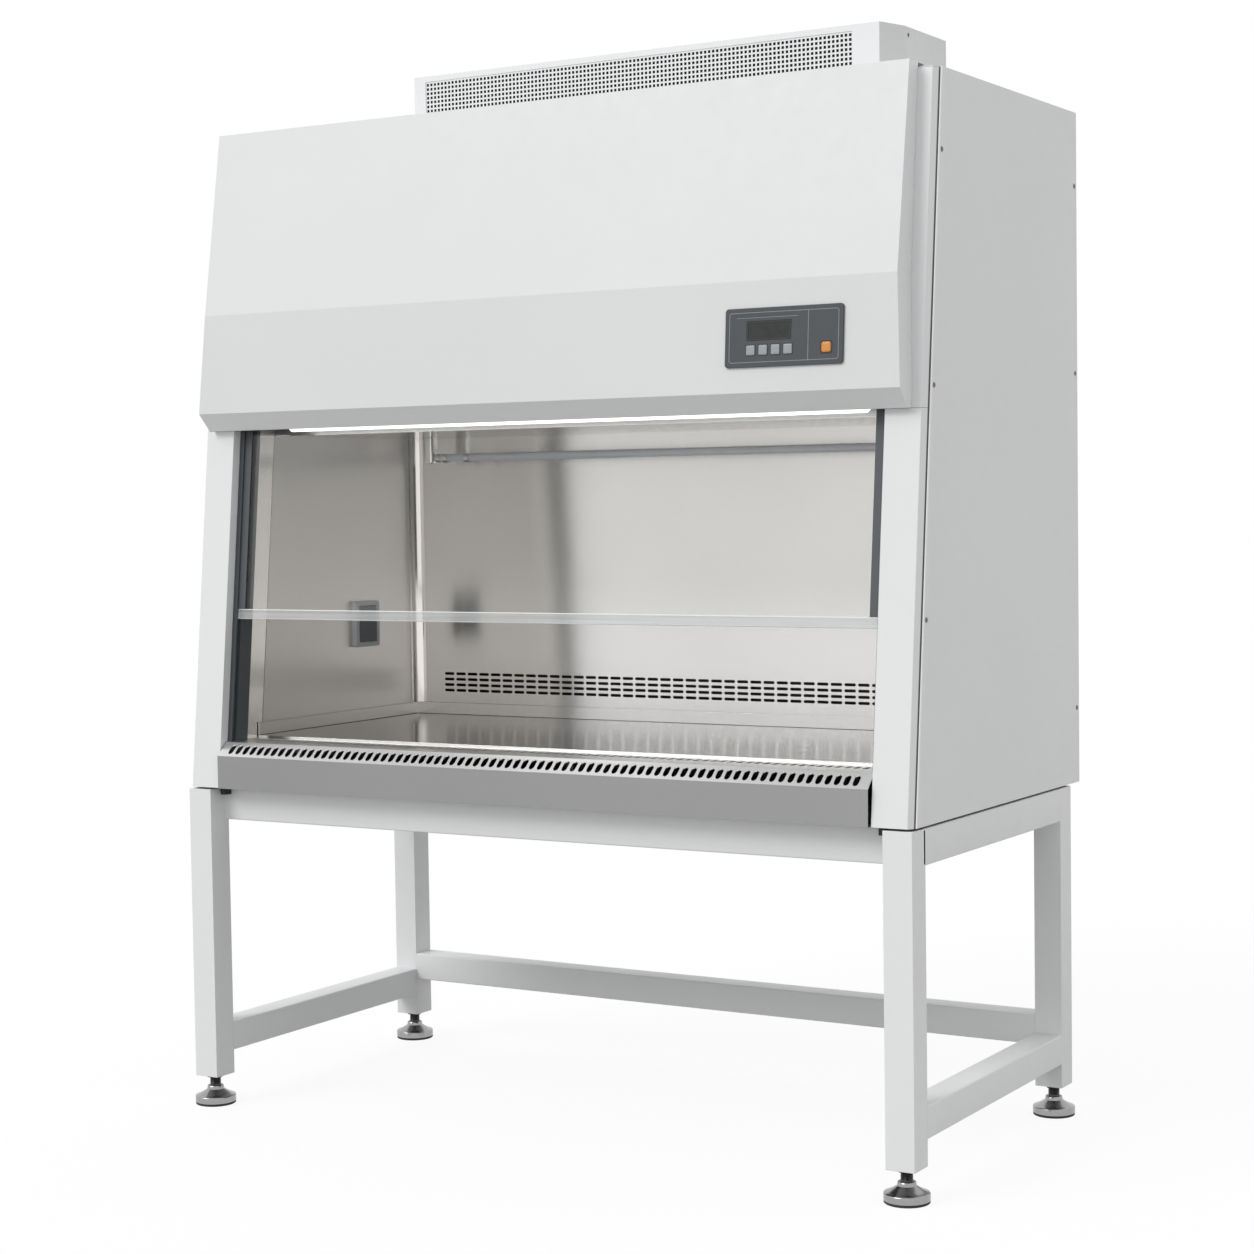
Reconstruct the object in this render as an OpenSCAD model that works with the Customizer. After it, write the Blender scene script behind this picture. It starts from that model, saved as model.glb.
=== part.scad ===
// Class II biological safety cabinet on a welded stand, in millimetres.
// The modules work in the cabinet's own frame: X across, Y from the foot of the side panels'
// front edge towards the back, Z up from the floor. placed() moves the origin under the middle
// of the whole outline. slanted() is the frame of the leaning front: Y into the cabinet and
// Z up along the slope, from the foot of the side panels' front edge.

/* [Cabinet] */
// Width over the side panels
cab_w = 1560; // [1300:10:1900]
// Depth of the side panels at their foot
cab_d = 764; // [740:2:840]
// Height of the side panels
cab_h = 1272; // [1240:2:1400]
// Height of the cabinet's underside above the floor
base_z = 634; // [560:2:760]
// Lean of the front from upright, in degrees
lean = 5.77; // [5:0.01:6.5]
// Thickness of the painted sheet steel
sheet = 1.5; // [1:0.1:2]
// Thickness of the stainless sheet
liner = 1.5; // [1:0.1:2]
// Gap where one fixed piece seats against a slanted or separate neighbour
seat = 0.3; // [0.2:0.05:0.5]

// Distance of the side panels' upper screws below the top
screw_top = 139; // [100:1:180]
// Distance of the rear middle screws below the top
screw_mid = 492; // [400:1:560]
// Height of the rear lower screws above the underside
screw_low = 143; // [100:1:200]
// Height of the front lower screws above the underside
screw_front = 345; // [250:1:450]
// Distance of the power inlet below the top
inlet_drop = 100; // [60:1:200]

/* [Pillars] */
// Width of a pillar's front face
pillar_w = 66.7; // [55:0.1:85]
// How far the pillars stand in front of the side panels
pillar_proud = 8.5; // [6:0.5:12]
// Width of the bevel between a pillar and its side panel
pillar_bevel = 6.8; // [4:0.1:10]
// Depth of that bevel
bevel_d = 11.5; // [8:0.5:12]
// Width of the groove between a pillar's bevel and the side panel
groove_w = 3; // [1:0.5:4]
// How far the groove is sunk below the side panel
groove_in = 2; // [1:0.5:3]
// Depth of a pillar's inner return behind the panels' front edge
pillar_return = 12; // [8:0.5:14]
// Depth of a pillar's flange along the side panel
pillar_flange = 20; // [12:1:30]
// Height of the seam between pillar and cheek above the cabinet's underside
seam_h = 699; // [690:1:720]
// Width of that seam
seam_gap = 0.5; // [0.3:0.1:1]

/* [Hood] */
// How far each hood side stands in from the side panel's outer face
hood_inset = 37; // [25:1:50]
// How far the hood widens on each side at its lower edge
hood_flare = 9; // [0:1:15]
// Height of the hood's top above the side panels
hood_rise = 9; // [4:1:20]
// Height of the upper face's foot above the cabinet's underside
hood_bend_h = 924; // [880:2:1000]
// Height of the lower face's foot above the cabinet's underside
hood_edge_h = 732; // [725:1:745]
// How far the hood stands in front of the pillars at its top
hood_proud_top = 35; // [25:1:50]
// The same at the bend between the two faces
hood_proud_bend = 55; // [52:1:80]
// The same at the lower edge
hood_proud_edge = 49.5; // [48:0.5:80]
// The same at the foot of the chamfer
hood_proud_lip = 15; // [8:1:25]

/* [Controls] */
// Distance of the control panel's centre from the cabinet's middle
panel_x = 535.5; // [0:0.5:560]
// Height of the control panel's centre above the cabinet's underside
panel_h = 826; // [805:1:850]
// Width of the control panel's bezel
bezel_w = 225; // [215:1:260]
// Height of the bezel
bezel_h = 101.5; // [95:0.5:120]
// Thickness of the bezel
bezel_t = 4; // [3:0.5:6]
// Corner radius of the bezel
bezel_r = 6; // [2:0.5:10]
// Width of the display
display_w = 85; // [60:1:95]
// Height of the display
display_h = 33; // [20:1:36]
// Place of the display's centre on the bezel, across and up
display_at = [-28.2, 11];
// Width of a soft key
key_w = 17; // [12:0.5:18]
// Height of a soft key
key_h = 17.6; // [12:0.1:18]
// Spacing of the four soft keys
key_pitch = 23.8; // [21.8:0.1:26]
// Distance of the keys' row below the bezel's centre
key_drop = 22; // [20:0.5:26]
// Distance of the power key from the bezel's centre
power_key_x = 81.4; // [70:0.1:88]
// Width and height of the power key
power_key_w = 19; // [14:0.5:20]
// How far a key stands out of the bezel
key_proud = 1.2; // [1:0.1:3]
// How far a key travels when pressed
key_travel = 1; // [0.5:0.1:1]
// Depth of the control box behind the bezel
control_d = 33; // [25:1:36]

/* [Sash] */
// Height of the open gap under the sash at rest
sash_gap = 240; // [180:1:300]
// Length of the sash along the slope
sash_h = 620; // [560:2:640]
// Height of the clear grip rail along the sash's foot
rail_h = 19.5; // [12:0.5:30]
// Thickness of the sash's frame
sash_t = 9; // [8:0.5:12]
// Thickness of the sash's glass
glass_t = 6; // [4:0.5:6]
// Width of the dark edge profiles
edge_w = 21; // [15:1:30]
// Distance of the sash's front behind the panels' front edge
sash_v = 15.5; // [15.5:0.5:20]
// Play of the sash in its guides, front and back
sash_play = 1; // [0.5:0.1:2]
// Play of the sash in its guides, on each side
side_play = 2.5; // [1:0.1:4]
// How far the sash lowers from rest, along the slope
sash_down = 236; // [150:1:236]
// Room left between the raised sash and the lift shaft, along the slope
sash_headroom = 28; // [20:1:60]
// Thickness of a guide's lips
guide_lip = 2.5; // [2:0.1:4]
// How far the guide's lips reach over the sash
guide_reach = 7; // [5:0.5:12]
// Thickness of the guide's web
guide_web = 3; // [2:0.5:5]
// Distance of the guide's back behind the panels' front edge
guide_back = 69; // [50:1:80]

/* [Counterbalance] */
// Distance of the belts outside the front opening's edge
belt_out = 32; // [30:1:36]
// Width of the belts
belt_w = 14; // [10:1:16]
// Thickness of the belts
belt_t = 1.5; // [1:0.1:2]
// Radius at which the belts run round their pulleys
pulley_r = 27; // [24:0.5:30]
// Running gap between belt and pulley, and belt and clamp
belt_gap = 0.3; // [0.2:0.05:0.5]
// Thickness of a pulley's flanges
flange_t = 1.5; // [1:0.1:2]
// How far the flanges stand above the belt's middle
flange_rise = 4; // [3:0.5:6]
// Distance of the lift shaft below the side panels' top
shaft_drop = 46; // [44:1:70]
// Radius of the lift shaft
shaft_r = 6; // [5:0.5:8]
// Height of the idlers above the cabinet's underside
idler_rise = 145; // [130:1:170]
// Radius of the idlers' pins
pin_r = 5; // [4:0.5:6]
// Radial clearance of every running bore
bore_gap = 0.05; // [0.03:0.01:0.1]
// Length of a counterweight
weight_l = 483; // [380:1:490]
// Width of a counterweight
weight_w = 29; // [20:1:29]
// Depth of a counterweight
weight_d = 60; // [40:1:60]

/* [Work zone] */
// Height of the front grille's top above the cabinet's underside
grille_h = 89; // [80:1:100]
// Height of the grille's upright face
sill_h = 64; // [50:1:70]
// How far the grille's face stands in front of the side panels
sill_proud = 14; // [8:1:16]
// Depth of the grille's sloping face
slope_d = 29; // [22:1:36]
// Distance of the grille's back edge behind the panels' front edge
grille_back = 110; // [105:1:120]
// Gap between the grille's ends and the pillars
sill_gap = 3; // [1:0.5:5]
// Spacing of the grille's slots
slot_pitch = 17.5; // [14:0.5:24]
// Width of a grille slot
slot_w = 11; // [6:0.5:12]
// Length of a slot in the sloping face, measured level
slot_run = 19; // [14:0.5:22]
// Length of a slot in the level face
slot_back_l = 30; // [20:1:34]
// Height of the work tray's floor above the cabinet's underside
tray_h = 94; // [90:1:110]
// Height of the work tray's rim
tray_rim = 25; // [10:1:32]
// Depth of the plenum between the rear wall and the cabinet's back
rear_plenum = 104; // [90:1:120]
// Height of the ceiling above the cabinet's underside
ceiling_h = 690; // [680:1:695]
// Width of the stainless trim beside each guide
trim_w = 43.5; // [30:0.5:50]
// Width of the seam between trim and side liner
trim_seam = 1.5; // [1:0.1:3]
// Radius of the coved rear corners
cove_r = 25; // [15:1:35]
// Spacing of the rear slots along a row
rear_pitch = 30; // [26:1:40]
// Length of a rear slot
rear_slot_l = 25; // [15:1:25]
// Width of a rear slot
rear_slot_w = 6; // [4:0.5:8]
// Spacing of the rear slots' rows
rear_row_pitch = 12; // [10:0.5:16]
// Number of rows of rear slots
rear_rows = 4; // [2:1:5]
// Height of the lowest row above the tray's floor
rear_slot_h = 52; // [36:1:60]
// Spacing of the ceiling's holes
ceiling_pitch = 50; // [40:1:80]
// Radius of the ceiling's holes
ceiling_hole_r = 5; // [3:0.5:8]
// Radius of the posts under the tray
post_r = 10; // [8:1:15]

/* [Lamps and outlet] */
// Radius of both lamp tubes
lamp_r = 13; // [8:0.5:13]
// Distance from the white lamp's ends to the side walls
lamp_end = 88; // [60:1:120]
// Distance of the white lamp behind the panels' front edge
lamp_v = 79; // [70:1:90]
// Height of the white lamp above the ceiling's underside
lamp_rise = 12; // [8:1:16]
// Distance from the germicidal tube's ends to the side walls
uv_end = 100; // [60:1:160]
// Distance of the germicidal tube in front of the rear wall
uv_out = 60; // [50:1:90]
// Distance of the germicidal tube below the ceiling
uv_drop = 43; // [30:1:60]
// Thickness of a lamp socket along the tube
socket_l = 26; // [15:1:30]
// Width of a lamp socket
socket_w = 30; // [28:1:34]
// Height of the lamp canopy above the ceiling
canopy_rise = 41; // [36:1:50]
// Width of the outlet's frame
outlet_w = 80; // [70:1:100]
// Height of the outlet's frame
outlet_h = 96; // [86:1:110]
// Thickness of the outlet's frame
outlet_t = 12; // [11:0.5:16]
// Distance of the outlet's centre behind the panels' front edge
outlet_y = 468; // [300:1:520]
// Height of the outlet's centre above the tray's floor
outlet_rise = 205; // [120:1:300]
// Width of the outlet's flap
flap_w = 60; // [50:1:60]
// Height of the outlet's flap
flap_h = 76; // [60:1:76]
// Thickness of the flap
flap_t = 3; // [2.5:0.5:4]
// Radius of the flap's hinge barrel
flap_barrel_r = 3; // [3:0.5:4]
// Radius of the flap's hinge pin
flap_pin_r = 1.5; // [1:0.1:2]

/* [Air system] */
// Height of the blower deck above the ceiling
deck_rise = 151; // [140:1:170]
// Thickness of the supply filter
supply_t = 90; // [60:1:100]
// Thickness of the exhaust filter
exhaust_t = 78; // [50:1:90]
// Height of the blower's scroll above the deck
scroll_rise = 13; // [8:1:20]
// Clearance between the scroll and the exhaust filter
scroll_gap = 38; // [20:1:60]
// Distance of the blower's axis in front of the cabinet's back
blower_back = 334; // [320:1:345]
// Width of the blower's scroll
scroll_w = 240; // [200:2:300]
// Clearance between the blower wheel and the scroll
wheel_gap = 35; // [20:1:60]
// Width of the blower wheel
wheel_w = 200; // [160:2:200]
// Number of blades on the wheel
blades = 20; // [12:1:28]
// Radius of the wheel's shaft
wheel_shaft_r = 8; // [6:0.5:10]
// Radius of the blower motor
motor_r = 65; // [50:1:75]
// Length of the blower motor
motor_l = 130; // [100:1:160]
// Distance between scroll and motor
motor_gap = 30; // [20:1:50]
// Width of the motor's pedestal
motor_foot_w = 80; // [50:1:100]
// Margin of the rear intake in the deck, at each end
intake_end = 100; // [60:1:200]
// How far the exhaust filter's ends stand in from the exhaust box's front corners
filter_side = 43; // [20:1:80]
// How far the exhaust filter stands in from the exhaust box, front and back
filter_edge = 14; // [8:1:30]

/* [Exhaust box] */
// Half the width of the exhaust box's front face
exhaust_front = 523; // [480:1:560]
// How far the exhaust box widens behind its front face
exhaust_flare = 21; // [10:1:30]
// Depth of the flared part
exhaust_flare_d = 67; // [40:1:80]
// Depth of the whole exhaust box
exhaust_d = 256; // [240:1:280]
// Distance of the exhaust box from the cabinet's back
exhaust_back = 67; // [60:1:80]
// Height of the exhaust box
exhaust_h = 150; // [120:1:200]
// Left margin of the perforated front
perf_left = 28; // [20:1:60]
// Right margin of the perforated front
perf_right = 55; // [20:1:80]
// Margin of the perforated front above and below
perf_edge = 12; // [8:1:24]
// Spacing of the perforation
perf_pitch = 17.5; // [14:0.5:30]
// Width of one square hole
perf_hole = 11; // [6:0.5:12]

/* [Stand] */
// How far the legs stand in from the cabinet's sides
stand_in = 2; // [0:0.5:20]
// Depth over the legs
stand_d = 731; // [660:1:780]
// How far the legs stand in front of the side panels' foot
stand_proud = 9; // [0:1:12]
// Side of the square leg tube
leg_w = 54; // [45:1:60]
// Wall of every tube
tube_wall = 2; // [1.5:0.1:3]
// Thickness of the pads between stand and cabinet
spacer_t = 4; // [2:0.5:8]
// Height of the upper rails
upper_h = 63; // [40:1:80]
// How far the front upper rail stands behind the legs' front
rail_in = 48; // [0:1:60]
// Height of the lower bars
lower_h = 57; // [40:1:70]
// Height of the side bars' underside above the floor
side_bar_z = 103; // [80:1:200]
// Height of the rear bar's underside above the floor
rear_bar_z = 137; // [80:1:240]
// Height of the legs' underside above the floor
leg_z = 57.5; // [52:0.5:80]
// Radius of a levelling foot
foot_r = 40; // [30:1:45]
// Thickness of the rubber under a foot
rubber_t = 4; // [3:0.5:5]
// Radius of a foot's threaded stem
stem_r = 11; // [8:0.5:12]
// How far a foot screws out
foot_travel = 25; // [10:1:30]

/* [Hidden] */
$fn = 48;
eps = 1;
hw = cab_w / 2;
top_z = base_z + cab_h;
open_hw = hw - sheet - groove_in - pillar_bevel - pillar_w;
work_hw = open_hw - guide_web;
grille_z = base_z + grille_h;
tray_z = base_z + tray_h;
rear_y = cab_d - rear_plenum;
ceiling_z = base_z + ceiling_h;
seam_z = base_z + seam_h;
deck_z = ceiling_z + deck_rise;
hood_hw = hw - hood_inset;
hood_top_z = top_z + hood_rise;
panel_z = base_z + panel_h;
bay_v = guide_back + trim_w + trim_seam;
front_most = min(-sill_proud, -stand_proud + leg_w / 2 - foot_r);
mid_y = (front_most + cab_d) / 2;
sash_hw = open_hw - guide_web - side_play;
sash_mid = sash_v + sash_t / 2;
guide_v = sash_v - sash_play - guide_lip;
drive_v = sash_mid + pulley_r;
sash_u = along(grille_z + sash_gap, sash_mid);
shaft_u = along(top_z - shaft_drop, drive_v);
idler_u = along(base_z + idler_rise, drive_v);
sash_up = shaft_u - shaft_r - sash_headroom - sash_h - sash_u;
clamp_u = sash_u + sash_h - 20;
clamp_h = 20;
weight_u = (shaft_u + idler_u + sash_up - sash_down) / 2;
belt_x = open_hw + belt_out;
belt_in_r = pulley_r - belt_t / 2;
groove_r = belt_in_r - belt_gap;
flange_r = pulley_r + flange_rise;
weight_x = belt_x + belt_w / 2 + 2.4;
stand_hw = hw - stand_in;
stand_y = -stand_proud;
stand_back = stand_y + stand_d;
stand_top = base_z - spacer_t;
leg_plate = 5;
nut_t = 5;
ceiling_front = depth_at(ceiling_z, bay_v + liner);
outlet_z = tray_z + outlet_rise;
blower_y = cab_d - blower_back;
filter_z = top_z - sheet - seat - exhaust_t;
scroll_r = (filter_z - scroll_gap - deck_z - scroll_rise) / 2;
wheel_r = scroll_r - wheel_gap;
blower_z = deck_z + scroll_rise + scroll_r;
exhaust_y = cab_d - exhaust_back - exhaust_d;

// Height along the slope of the point at height z on the plane v behind the front plane
function along(z, v) = (z - base_z + v * sin(lean)) / cos(lean);
// Depth of the plane v behind the front plane, at height z
function depth_at(z, v = 0) = (z - base_z) * tan(lean) + v / cos(lean);
function unit(v) = v / norm(v);
function turned(v) = [-v[1], v[0]];
function mitre(a, b) = (turned(a) + turned(b)) / (1 + a * b);
// A bent sheet's outline: its path, and back along the path moved to its left by t
function bent(path, t) = let (n = len(path) - 1) concat(path, [for (i = [n:-1:0])
  path[i] + t * mitre(unit(path[max(i, 1)] - path[max(i, 1) - 1]),
                      unit(path[min(i, n - 1) + 1] - path[min(i, n - 1)]))]);
// A closed outline moved to its left by t
function inset(loop, t) = let (n = len(loop)) [for (i = [0:n - 1])
  loop[i] + t * mitre(unit(loop[i] - loop[(i + n - 1) % n]), unit(loop[(i + 1) % n] - loop[i]))];

module placed() translate([0, -mid_y, 0]) children();
module slanted() translate([0, 0, base_z]) rotate([-lean, 0, 0]) children();
module sided(s) if (s < 0) mirror([1, 0, 0]) children(); else children();
module both_sides() for (s = [-1, 1]) sided(s) children();
// A profile drawn in Y and Z, carried across X from x0 to x1
module across(x0, x1) translate([x0, 0, 0]) rotate([90, 0, 90]) linear_extrude(x1 - x0) children();
module block(low, high) translate(low) cube(high - low);
module level(z0, z1) intersection() {
  children();
  block([-cab_w, -cab_d, z0], [cab_w, 2 * cab_d, z1]);
}
module drilled_x(r, x0, x1) translate([x0, 0, 0]) rotate([0, 90, 0]) cylinder(r = r, h = x1 - x0);
// A rectangular tube, open at both ends along one axis
module tube(low, high, axis) difference() {
  block(low, high);
  block([for (i = [0:2]) low[i] + (i == axis ? -eps : tube_wall)],
        [for (i = [0:2]) high[i] - (i == axis ? -eps : tube_wall)]);
}
module rounded(w, h, r) {
  square([w - 2 * r, h], center = true);
  square([w, h - 2 * r], center = true);
  for (x = [-1, 1], y = [-1, 1]) translate([x * (w / 2 - r), y * (h / 2 - r)]) circle(r);
}
// A slot of width w and length l along Y
module slot(w, l) {
  square([w, l - w], center = true);
  for (y = [-1, 1]) translate([0, y * (l - w) / 2]) circle(w / 2, $fn = 24);
}

/* Stand */
module at_leg(sx, sy) translate([sx * (stand_hw - leg_w / 2),
  sy < 0 ? stand_y + leg_w / 2 : stand_back - leg_w / 2, 0]) children();
module legs() color("whitesmoke") placed() for (sx = [-1, 1], sy = [-1, 1]) at_leg(sx, sy) difference() {
  block([-leg_w / 2, -leg_w / 2, leg_z], [leg_w / 2, leg_w / 2, stand_top]);
  block([-leg_w / 2 + tube_wall, -leg_w / 2 + tube_wall, leg_z + leg_plate],
        [leg_w / 2 - tube_wall, leg_w / 2 - tube_wall, stand_top - tube_wall]);
  cylinder(r = stem_r + bore_gap, h = leg_z + leg_plate + eps);
}
module cross_tube(y0, z0, h)
  tube([-stand_hw + leg_w, y0, z0], [stand_hw - leg_w, y0 + leg_w, z0 + h], 0);
module side_tubes(z0, h) both_sides()
  tube([stand_hw - leg_w, stand_y + leg_w, z0], [stand_hw, stand_back - leg_w, z0 + h], 1);
module upper_rails() color("whitesmoke") placed() {
  for (y = [stand_y + rail_in, stand_back - leg_w]) cross_tube(y, stand_top - upper_h, upper_h);
  side_tubes(stand_top - upper_h, upper_h);
}
module lower_bars() color("whitesmoke") placed() {
  cross_tube(stand_back - leg_w, rear_bar_z, lower_h);
  side_tubes(side_bar_z, lower_h);
}
// Rubber pads hooked over the cross rails' outer edges, under the cabinet
module pad() {
  block([-pad_w / 2, 0, 0], [pad_w / 2, leg_w - 10, spacer_t]);
  block([-pad_w / 2, -pad_nose, -pad_drop], [pad_w / 2, 0, spacer_t]);
}
module base_pads() color("black") placed() both_sides() {
  translate([pad_x, stand_y + rail_in, stand_top]) pad();
  translate([pad_x, stand_back, stand_top]) mirror([0, 1, 0]) pad();
}
pad_w = 12;
pad_nose = 24;
pad_drop = 12;
pad_x = stand_hw - leg_w - pad_w / 2 - 6;
module foot(sx, sy) color("silver") placed() at_leg(sx, sy) rotate_extrude()
  polygon([[0, 0], [foot_r, 0], [foot_r, rim_h], [collar_r, rim_h + 13], [collar_r, collar_z],
    [stem_r, collar_z], [stem_r, stem_top], [0, stem_top]]);
rim_h = rubber_t + 12;
collar_r = stem_r + 5;
collar_z = rim_h + 19;
stem_top = leg_z + leg_plate + foot_travel + 10;
module foot_lock_nuts() color("silver") placed() for (sx = [-1, 1], sy = [-1, 1]) at_leg(sx, sy)
  difference() {
    translate([0, 0, leg_z - nut_t]) cylinder(r = stem_r * 1.5, h = nut_t, $fn = 6);
    cylinder(r = stem_r + bore_gap, h = leg_z + eps);
  }

/* Outer shell */
module side_panel(s) color("gainsboro") placed() sided(s) across(hw - sheet, hw)
  polygon([[depth_at(base_z, panel_v), base_z], [cab_d, base_z], [cab_d, top_z],
    [depth_at(top_z, panel_v), top_z]]);
module back_panel() color("gainsboro") placed() difference() {
  block([-hw + sheet, cab_d - sheet, base_z], [hw - sheet, cab_d, top_z]);
  at_inlet() block([-inlet_w / 2 - 0.3, -sheet - eps, -inlet_h / 2 - 0.3],
                   [inlet_w / 2 + 0.3, eps, inlet_h / 2 + 0.3]);
}
module top_panel() color("gainsboro") placed() difference() {
  translate([0, 0, top_z - sheet]) linear_extrude(sheet) polygon(concat(
    [for (p = front_corner) [p[0], depth_at(top_z, p[1])]],
    [[hw - sheet, cab_d - sheet], [-hw + sheet, cab_d - sheet]],
    [for (i = [len(front_corner) - 1:-1:0]) [-front_corner[i][0], depth_at(top_z, front_corner[i][1])]]));
  block([-exhaust_front + 60, exhaust_y + 30, top_z - sheet - eps],
        [exhaust_front - 60, exhaust_y + exhaust_d - 30, top_z + eps]);
}
top_y = depth_at(top_z, -pillar_proud);
// The outer corner of a pillar: its bevel and the groove in front of the side panel
bevel_v = bevel_d - pillar_proud;
panel_v = bevel_v + groove_w;
groove_x = open_hw + pillar_w + pillar_bevel;
front_corner = [[open_hw + pillar_w, -pillar_proud], [groove_x, bevel_v], [groove_x, panel_v],
  [hw - sheet, panel_v + groove_in]];
module base_pan() color("silver") placed()
  block([-hw + sheet, pan_y, base_z], [hw - sheet, cab_d - sheet, base_z + sheet]);
pan_y = pillar_flange + 2;
inlet_w = 51;
inlet_h = 31;
module at_inlet() translate([-hw + 130, cab_d, top_z - inlet_drop]) children();
module power_inlet() color("black") placed() at_inlet() difference() {
  block([-inlet_w / 2, -30, -inlet_h / 2], [inlet_w / 2, 0, inlet_h / 2]);
  block([-12, -20, -8], [12, eps, 8]);
}
// A button head's centre on the side panel, at depth y and height h above the underside
module side_screw(y, h) translate([hw, y, base_z + h]) drilled_x(5, 0, 2.5);
module panel_screws() color("silver") placed() both_sides() {
  for (h = [screw_front, seam_h + 38, cab_h - screw_top]) side_screw(depth_at(base_z + h, panel_v) + 11, h);
  for (h = [screw_low, cab_h - screw_mid, cab_h - screw_top]) side_screw(cab_d - 12, h);
  translate([exhaust_front + exhaust_flare, exhaust_y + exhaust_flare_d + 15, top_z + exhaust_h - 15])
    drilled_x(4, 0, 2);
}

/* Pillars, cheeks and hood */
module front_profile() polygon(bent(concat([[open_hw, pillar_return], [open_hw, -pillar_proud]],
  front_corner, [[hw - sheet, pillar_flange]]), sheet));
module front_strip(z0, z1) level(z0, z1) slanted()
  translate([0, 0, -cab_h / 2]) linear_extrude(cab_h * 2) front_profile();
module pillar(s) color("whitesmoke") placed() sided(s) front_strip(base_z, seam_z - seam_gap / 2);
module upper_cheeks() color("whitesmoke") placed() both_sides()
  front_strip(seam_z + seam_gap / 2, top_z - sheet - seat);
function hood_point(z, proud) = [depth_at(z, -pillar_proud) - proud, z];
hood_path = [hood_point(hood_top_z, hood_proud_top), hood_point(base_z + hood_bend_h, hood_proud_bend),
  hood_point(base_z + hood_edge_h, hood_proud_edge), hood_point(seam_z, hood_proud_lip)];
function hood_side(path, top, foot) =
  concat([hood_point(top, seat)], path, [hood_point(foot, seat)]);
function hood_front(w) = [[w, hood_top_z], [w, base_z + hood_bend_h],
  [w + hood_flare, base_z + hood_edge_h], [w + hood_flare, seam_z]];
module hood_body(side, half) intersection() {
  across(-cab_w, cab_w) polygon(side);
  translate([0, cab_d, 0]) rotate([90, 0, 0]) linear_extrude(2 * cab_d)
    polygon(concat(half, [for (i = [len(half) - 1:-1:0]) [-half[i][0], half[i][1]]]));
}
module hood() color("white") placed() {
  difference() {
    hood_body(hood_side(hood_path, hood_top_z, seam_z), hood_front(hood_hw));
    hood_body(concat([[cab_d, hood_top_z - sheet]], hood_inner, [[cab_d, seam_z + sheet]]),
      hood_front(hood_hw - sheet));
    on_face() across_face(bezel_w - 27, bezel_h - 23.5, -eps, 2 * sheet + eps);
  }
  across(-hood_hw, hood_hw) polygon(bent([[hood_path[0][0] + sheet, hood_top_z],
    [top_y + 25, hood_top_z], [top_y + 25, top_z + seat]], -sheet));
}
// The hood's path moved inwards by one sheet, with its ends level
hood_inner = let (p = inset(concat([[cab_d, hood_top_z]], hood_path, [[cab_d, seam_z]]), sheet))
  [for (i = [1:4]) p[i]];

/* Controls, in a frame on the hood's lower face: X across, Y into the hood, Z up the face */
face_low = hood_path[2];
face_high = hood_path[1];
face_tilt = atan((face_high[0] - face_low[0]) / (face_high[1] - face_low[1]));
module on_face() translate([panel_x, face_low[0] + (panel_z - face_low[1]) * tan(face_tilt), panel_z])
  rotate([-face_tilt, 0, 0]) children();
module across_face(w, h, y0, y1) block([-w / 2, y0, -h / 2], [w / 2, y1, h / 2]);
module plate_face(y0, y1) translate([0, y1, 0]) rotate([90, 0, 0]) linear_extrude(y1 - y0) children();
function key_x(i) = display_at[0] + 1.4 + (i - 2.5) * key_pitch;
module control_bezel() color("dimgray") placed() on_face() difference() {
  plate_face(-bezel_t, 0) rounded(bezel_w, bezel_h, bezel_r);
  translate([display_at[0], 0, display_at[1]])
    across_face(display_w + 0.2, display_h + 0.2, -bezel_t - eps, eps);
  for (i = [1:4]) translate([key_x(i), 0, -key_drop])
    across_face(key_w + 2 * key_gap, key_h + 2 * key_gap, -bezel_t - eps, eps);
  translate([power_key_x, 0, -key_drop])
    across_face(power_key_w + 2 * key_gap, power_key_w + 2 * key_gap, -bezel_t - eps, eps);
}
module display_window() color("darkslategray") placed() on_face()
  translate([display_at[0], 0, display_at[1]])
    across_face(display_w, display_h, -bezel_t + 0.4, 0);
module control_box() color("gray") placed() on_face() difference() {
  across_face(bezel_w - 29, bezel_h - 25.5, 0, control_d);
  across_face(bezel_w - 33, bezel_h - 29.5, -eps, key_flange + key_travel + 0.7);
}
key_flange = 1.8;
key_gap = 0.35;
module key(x, w, h) translate([x, 0, -key_drop]) {
  across_face(w, h, -bezel_t - key_proud, 0.3);
  across_face(w + 3, h + 3, 0.3, key_flange);
}

module soft_key(i) color("lightslategray") placed() on_face() key(key_x(i), key_w, key_h);
module power_key() color("orange") placed() on_face() key(power_key_x, power_key_w, power_key_w);

/* Sash, its guides and its counterbalance */
module guide() level(grille_z + seat, top_z) slanted() difference() {
  union() {
    block([work_hw, guide_v, 0], [open_hw, guide_back, guide_top]);
    for (v = [guide_v, guide_v + guide_lip + sash_t + 2 * sash_play])
      block([work_hw - guide_reach, v, 0], [open_hw - eps, v + guide_lip, guide_top]);
  }
  block([work_hw - eps, sash_v - 0.5, clamp_u - sash_down - clamp_h],
        [open_hw + eps, sash_v + sash_t + 0.5, clamp_u + sash_up + clamp_h]);
}
guide_top = shaft_u - shaft_r - 12;
module sash_guides() color("darkslategray") placed() both_sides() guide();
module sash_part(low, high) slanted() translate([0, 0, sash_u]) block(low, high);
module sash_glass() color("lightcyan", 0.3) placed()
  sash_part([-sash_hw + 2.5, sash_mid - glass_t / 2, rail_h],
            [sash_hw - 2.5, sash_mid + glass_t / 2, sash_h]);
module sash_grip_rail() color("white", 0.6) placed()
  sash_part([-sash_hw, sash_v, 0], [sash_hw, sash_v + sash_t, rail_h]);
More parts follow.
